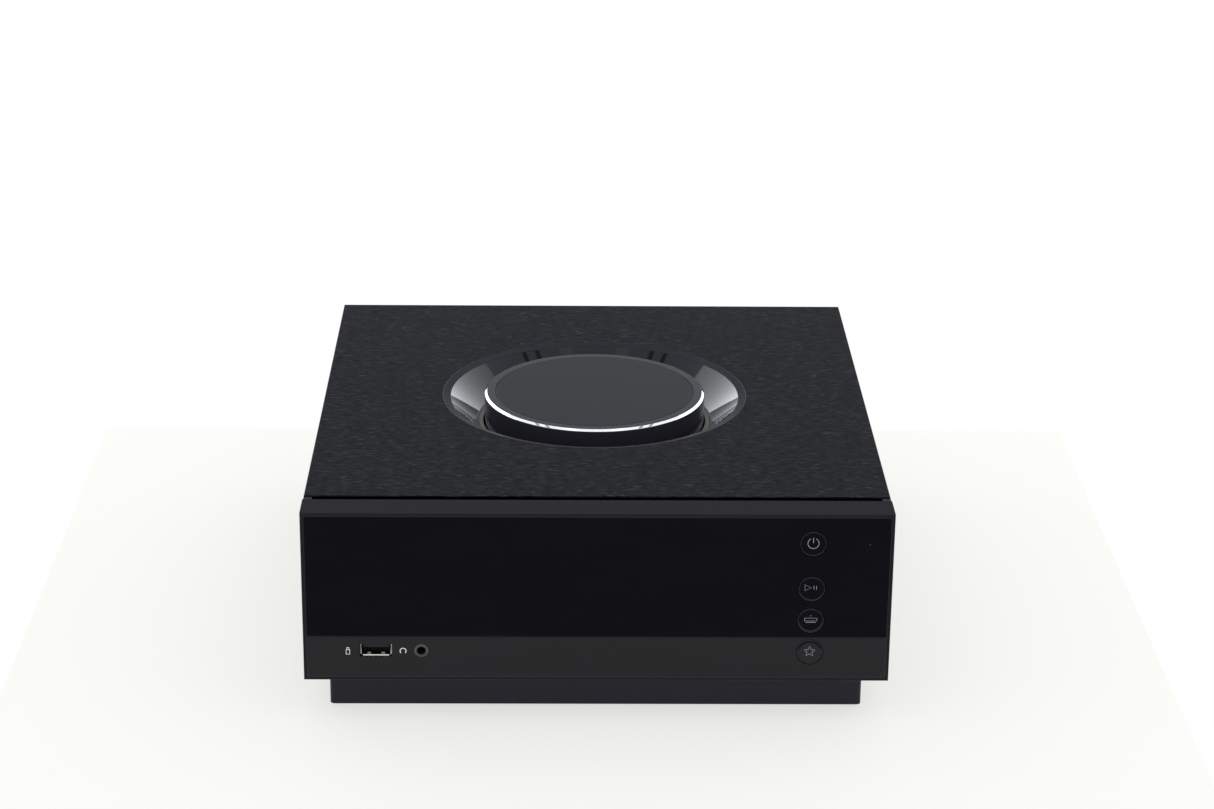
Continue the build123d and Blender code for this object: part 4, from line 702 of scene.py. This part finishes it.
def socket_signs():
    """A memory stick beside the square socket and a headband beside the round one."""
    low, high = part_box("front_usb_shell")
    y = GLASS_FACE - INK_LIFT
    z = middle_of(low, high).z - 0.15 * MM
    stick = [([(-0.75, -1.5), (0.75, -1.5), (0.75, 0.55), (-0.75, 0.55)], True),
             ([(-0.42, 0.55), (-0.42, 1.5), (0.42, 1.5), (0.42, 0.55)], False)]
    drawn("usb_sign", stick, 0.34, (low.x - 5.1 * MM, y, z), PRINT_WHITE, "case")
    band = [(arc(1.25, -12, 192), False), ([(-1.22, -0.25), (-0.95, -0.95)], False),
            ([(1.22, -0.25), (0.95, -0.95)], False)]
    jack_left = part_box("headphone_jack")[0].x
    drawn("headphone_sign", band, 0.38, (jack_left - 3.1 * MM, y, z), PRINT_WHITE, "case")


# ---- behind: collars round the sockets -----------------------------------------------------------

COLLAR_CLEARANCE = 0.02
THREAD_ROOT, THREAD_CREST, THREAD_PITCH, THREAD_TURNS = 3.1, 3.45, 0.8, 6


def collar(name, middle, face, inner, outer, thick, material):
    """A moulded ring that lies on a rear face, round a socket."""
    outline = [(inner, 0.0), (inner, -thick), (outer - 0.3, -thick), (outer, -thick + 0.3), (outer, 0.0)]
    mesh = turned(outline, Vector((middle.x, face, middle.z)), AGAINST_Y, RIGHT, 48)
    round_off(mesh, 0.1, 2, 40)
    finish_piece(name, mesh, material, "case")


def rear_collars():
    """Coloured rings round the phono shells, inserts inside them, and rings round the speaker sleeves."""
    panel_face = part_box("rear_panel")[1].y
    colours = [SOCKET_WHITE, SOCKET_RED, SOCKET_WHITE, SOCKET_RED, SOCKET_ORANGE]
    for number, ((low, high), colour) in enumerate(zip(islands("phono_shells"), colours), 1):
        middle, radius = middle_of(low, high), radius_of(low, high)
        collar(f"phono_collar_{number}", middle, panel_face, radius + COLLAR_CLEARANCE, radius + 1.1, 1.4,
               colour)
        collar(f"phono_insert_{number}", middle, high.y - 3.2 * MM, 1.62, radius - 0.42, 2.0, colour)
    block_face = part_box("speaker_block")[1].y
    for number, (low, high) in enumerate(islands("speaker_sleeves"), 1):
        middle, radius = middle_of(low, high), radius_of(low, high)
        colour = SOCKET_RED if number % 2 else SLOT_FINISHES["part_black"]
        collar(f"speaker_collar_{number}", middle, block_face, radius + COLLAR_CLEARANCE, radius + 1.6, 1.6,
               colour)


def aerial_threads():
    """Ridges for the ring nuts of the two aerials."""
    for number, (low, high) in enumerate(islands("aerial_sockets"), 1):
        middle = middle_of(low, high)
        outline = [(THREAD_ROOT - 0.1, 0.3)]
        for turn in range(THREAD_TURNS):
            root = 0.4 + turn * THREAD_PITCH
            outline += [(THREAD_ROOT, root), (THREAD_CREST, root + THREAD_PITCH / 2)]
        outline += [(THREAD_ROOT, 5.2), (THREAD_ROOT - 0.1, 5.3)]
        mesh = turned(outline, Vector((middle.x, high.y, middle.z)), AGAINST_Y, RIGHT, 48)
        finish_piece(f"aerial_thread_{number}", mesh, SLOT_FINISHES["socket_gold"], "case")


def bracket(half, leg):
    """A flat bracket of a rule and two legs, as one open stroke."""
    return [([(-half, leg), (-half, 0), (half, 0), (half, leg)], False)]


def rear_rules():
    """White brackets beside the sockets that belong together, and waves over the aerials."""
    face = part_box("rear_panel")[1].y + INK_LIFT
    phonos = islands("phono_shells")
    for number, (first, last) in enumerate(((0, 1), (2, 3), (4, 4)), 1):
        low, high = phonos[first][0], phonos[last][1]
        place = (middle_of(low, high).x, face, low.z - 3.4 * MM)
        drawn(f"phono_rule_{number}", bracket(radius_of(low, high), 1.2), 0.35, place, PRINT_WHITE, "case")
    low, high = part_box("speaker_block")
    place = (middle_of(low, high).x, face, high.z + 2.6 * MM)
    drawn("speaker_rule", bracket(radius_of(low, high), -1.2), 0.35, place, PRINT_WHITE, "case")
    for number, (low, high) in enumerate(islands("aerial_sockets"), 1):
        waves = [(arc(radius, 45, 135, 14), False) for radius in (1.2, 2.2, 3.2)]
        place = (middle_of(low, high).x, face, high.z + 1.6 * MM)
        drawn(f"aerial_sign_{number}", waves, 0.3, place, PRINT_WHITE, "case")


trim_ring()
dish()
light_guide()
dial()
for key_name in KEY_SIGNS:
    key_face(key_name)
glass_edge()
front_usb()
headphone_socket()
socket_signs()
rear_collars()
aerial_threads()
rear_rules()


# ---- stage, light and camera ---------------------------------------------------------------------

BOARD_CORNERS = ((-0.255, -0.215, -0.006), (0.250, 0.2075, 0.0))


def stage_board():
    """The pale board that the player stands on."""
    made = Finish("stage_board", Specular_IOR_Level=0.1, Emission_Color=(1.0, 0.992, 0.968),
                  Emission_Strength=0.64)
    cloud = made.noise((4,) * 3, 2)
    made.colour(made.blend(cloud, (0.33, 0.33, 0.315), (0.345, 0.345, 0.33)))
    made.roughness(0.8 + 0.1 * (cloud - 0.5))
    mesh = box_mesh(*BOARD_CORNERS)
    round_off(mesh, 0.6, 2)
    data = bpy.data.meshes.new("stage_board")
    mesh.to_mesh(data)
    mesh.free()
    data.materials.append(made.material)
    board = bpy.data.objects.new("stage_board", data)
    bpy.context.scene.collection.objects.link(board)


# Levels are against a white backdrop of 1, and a rise is the upward part of a direction.
PANEL_TOP_RISE = (0.63, 0.61)     # the two side panels end between these
LEFT_PANEL = (3.75, 3.0)          # level low down and high up
RIGHT_PANEL = (2.95, 2.0)
BARS = (0.555, 0.687)             # dark bars in the ceiling, as sideways over upward
STRIP_HALF = (0.05, 0.08)         # a lighter strip between them, soft between these half widths
STRIP_AT = 0.27
STRIP_GAIN = 1.28
GLOSSY_TINT = (0.96, 0.99, 1.05, 1)


def studio_world():
    """A white room: reflections see a bright backdrop, a greyer ceiling and a dark side by the camera."""
    world = bpy.data.worlds.new("studio")
    bpy.context.scene.world = world
    world.use_nodes = True
    world.cycles.sampling_method = "NONE"
    tree = world.node_tree
    tree.nodes.clear()

    def node(kind, settings=None, sockets=None):
        made = tree.nodes.new(kind)
        for key, value in (settings or {}).items():
            setattr(made, key, value)
        for key, value in (sockets or {}).items():
            if isinstance(value, bpy.types.NodeSocket):
                tree.links.new(value, made.inputs[key])
            else:
                made.inputs[key].default_value = value
        return made

    def math_of(operation, first, second=0.0):
        return node("ShaderNodeMath", {"operation": operation}, {0: first, 1: second}).outputs[0]

    def product(first, second):
        return math_of("MULTIPLY", first, second)

    def ramp(value, low, high, start=0.0, end=1.0):
        sockets = {"Value": value, "From Min": low, "From Max": high, "To Min": start, "To Max": end}
        return node("ShaderNodeMapRange", {"clamp": True}, sockets).outputs[0]

    direction = node("ShaderNodeTexCoord").outputs["Generated"]
    split = node("ShaderNodeSeparateXYZ", None, {0: direction}).outputs
    rise = split["Z"]
    back = split["Y"]
    aside = math_of("ABSOLUTE", split["X"])
    panel = product(ramp(rise, *PANEL_TOP_RISE), ramp(rise, -0.08, -0.02))
    panel = product(product(panel, ramp(aside, 0.20, 0.36)), ramp(back, -0.1, 0.05))
    ceiling = math_of("ADD", ramp(rise, 0.30, 0.45, 0.60, 0.30), ramp(rise, 0.45, 0.52, 0.0, 0.80))
    across = math_of("DIVIDE", aside, math_of("MAXIMUM", rise, 0.05))
    for middle in BARS:
        bar = math_of("ABSOLUTE", math_of("SUBTRACT", across, middle))
        ceiling = product(ceiling, ramp(bar, 0.014, 0.03, 0.3, 1.0))
    strip = math_of("ABSOLUTE", math_of("SUBTRACT", across, STRIP_AT))
    ceiling = product(ceiling, ramp(strip, *STRIP_HALF, STRIP_GAIN, 1.0))
    low_side = ramp(back, -0.9, 0.1, 0.12, 0.5)
    room = node("ShaderNodeMix", {"data_type": "FLOAT"},
                {"Factor": ramp(rise, -0.05, 0.05), 2: low_side, 3: ceiling}).outputs[0]
    left_level = ramp(rise, 0.20, 0.60, *LEFT_PANEL)
    right_level = ramp(rise, 0.20, 0.60, *RIGHT_PANEL)
    panel_level = node("ShaderNodeMix", {"data_type": "FLOAT"},
                       {"Factor": ramp(split["X"], -0.2, 0.2), 2: left_level, 3: right_level}).outputs[0]
    glossy = math_of("MAXIMUM", product(panel, panel_level), room)
    rays = node("ShaderNodeLightPath").outputs
    level = node("ShaderNodeMix", {"data_type": "FLOAT"},
                 {"Factor": rays["Is Glossy Ray"], 2: 1.0, 3: glossy}).outputs[0]
    tint = node("ShaderNodeMix", {"data_type": "RGBA"},
                {"Factor": rays["Is Glossy Ray"], 6: (1, 1, 1, 1), 7: GLOSSY_TINT}).outputs[2]
    light = node("ShaderNodeBackground", None, {"Color": tint, "Strength": level})
    out = node("ShaderNodeOutputWorld", None, {"Surface": light.outputs[0]})
    out.is_active_output = True


LENS_MM = 87.13
EYE = (-0.01717, -1.24456, 0.56259)
PITCH, ROLL, YAW = 20.6934, 0.5882, 1.0487


def camera():
    """Looks down on the front from a little to the left, through a long lens."""
    lens = bpy.data.cameras.new("camera")
    lens.sensor_width = 36
    lens.lens = LENS_MM
    lens.clip_end = 20
    eye = bpy.data.objects.new("camera", lens)
    bpy.context.scene.collection.objects.link(eye)
    pitch, roll, yaw = map(math.radians, (PITCH, ROLL, YAW))
    forward = Vector((math.sin(yaw) * math.cos(pitch), math.cos(yaw) * math.cos(pitch), -math.sin(pitch)))
    level = Vector((math.cos(yaw), -math.sin(yaw), 0))
    upright = level.cross(forward)
    right = level * math.cos(roll) + upright * math.sin(roll)
    up = upright * math.cos(roll) - level * math.sin(roll)
    turn = Matrix((right, up, -forward)).transposed()
    eye.matrix_world = Matrix.Translation(EYE) @ turn.to_4x4()
    bpy.context.scene.camera = eye


stage_board()
studio_world()
camera()
bpy.context.scene.view_settings.view_transform = "Standard"
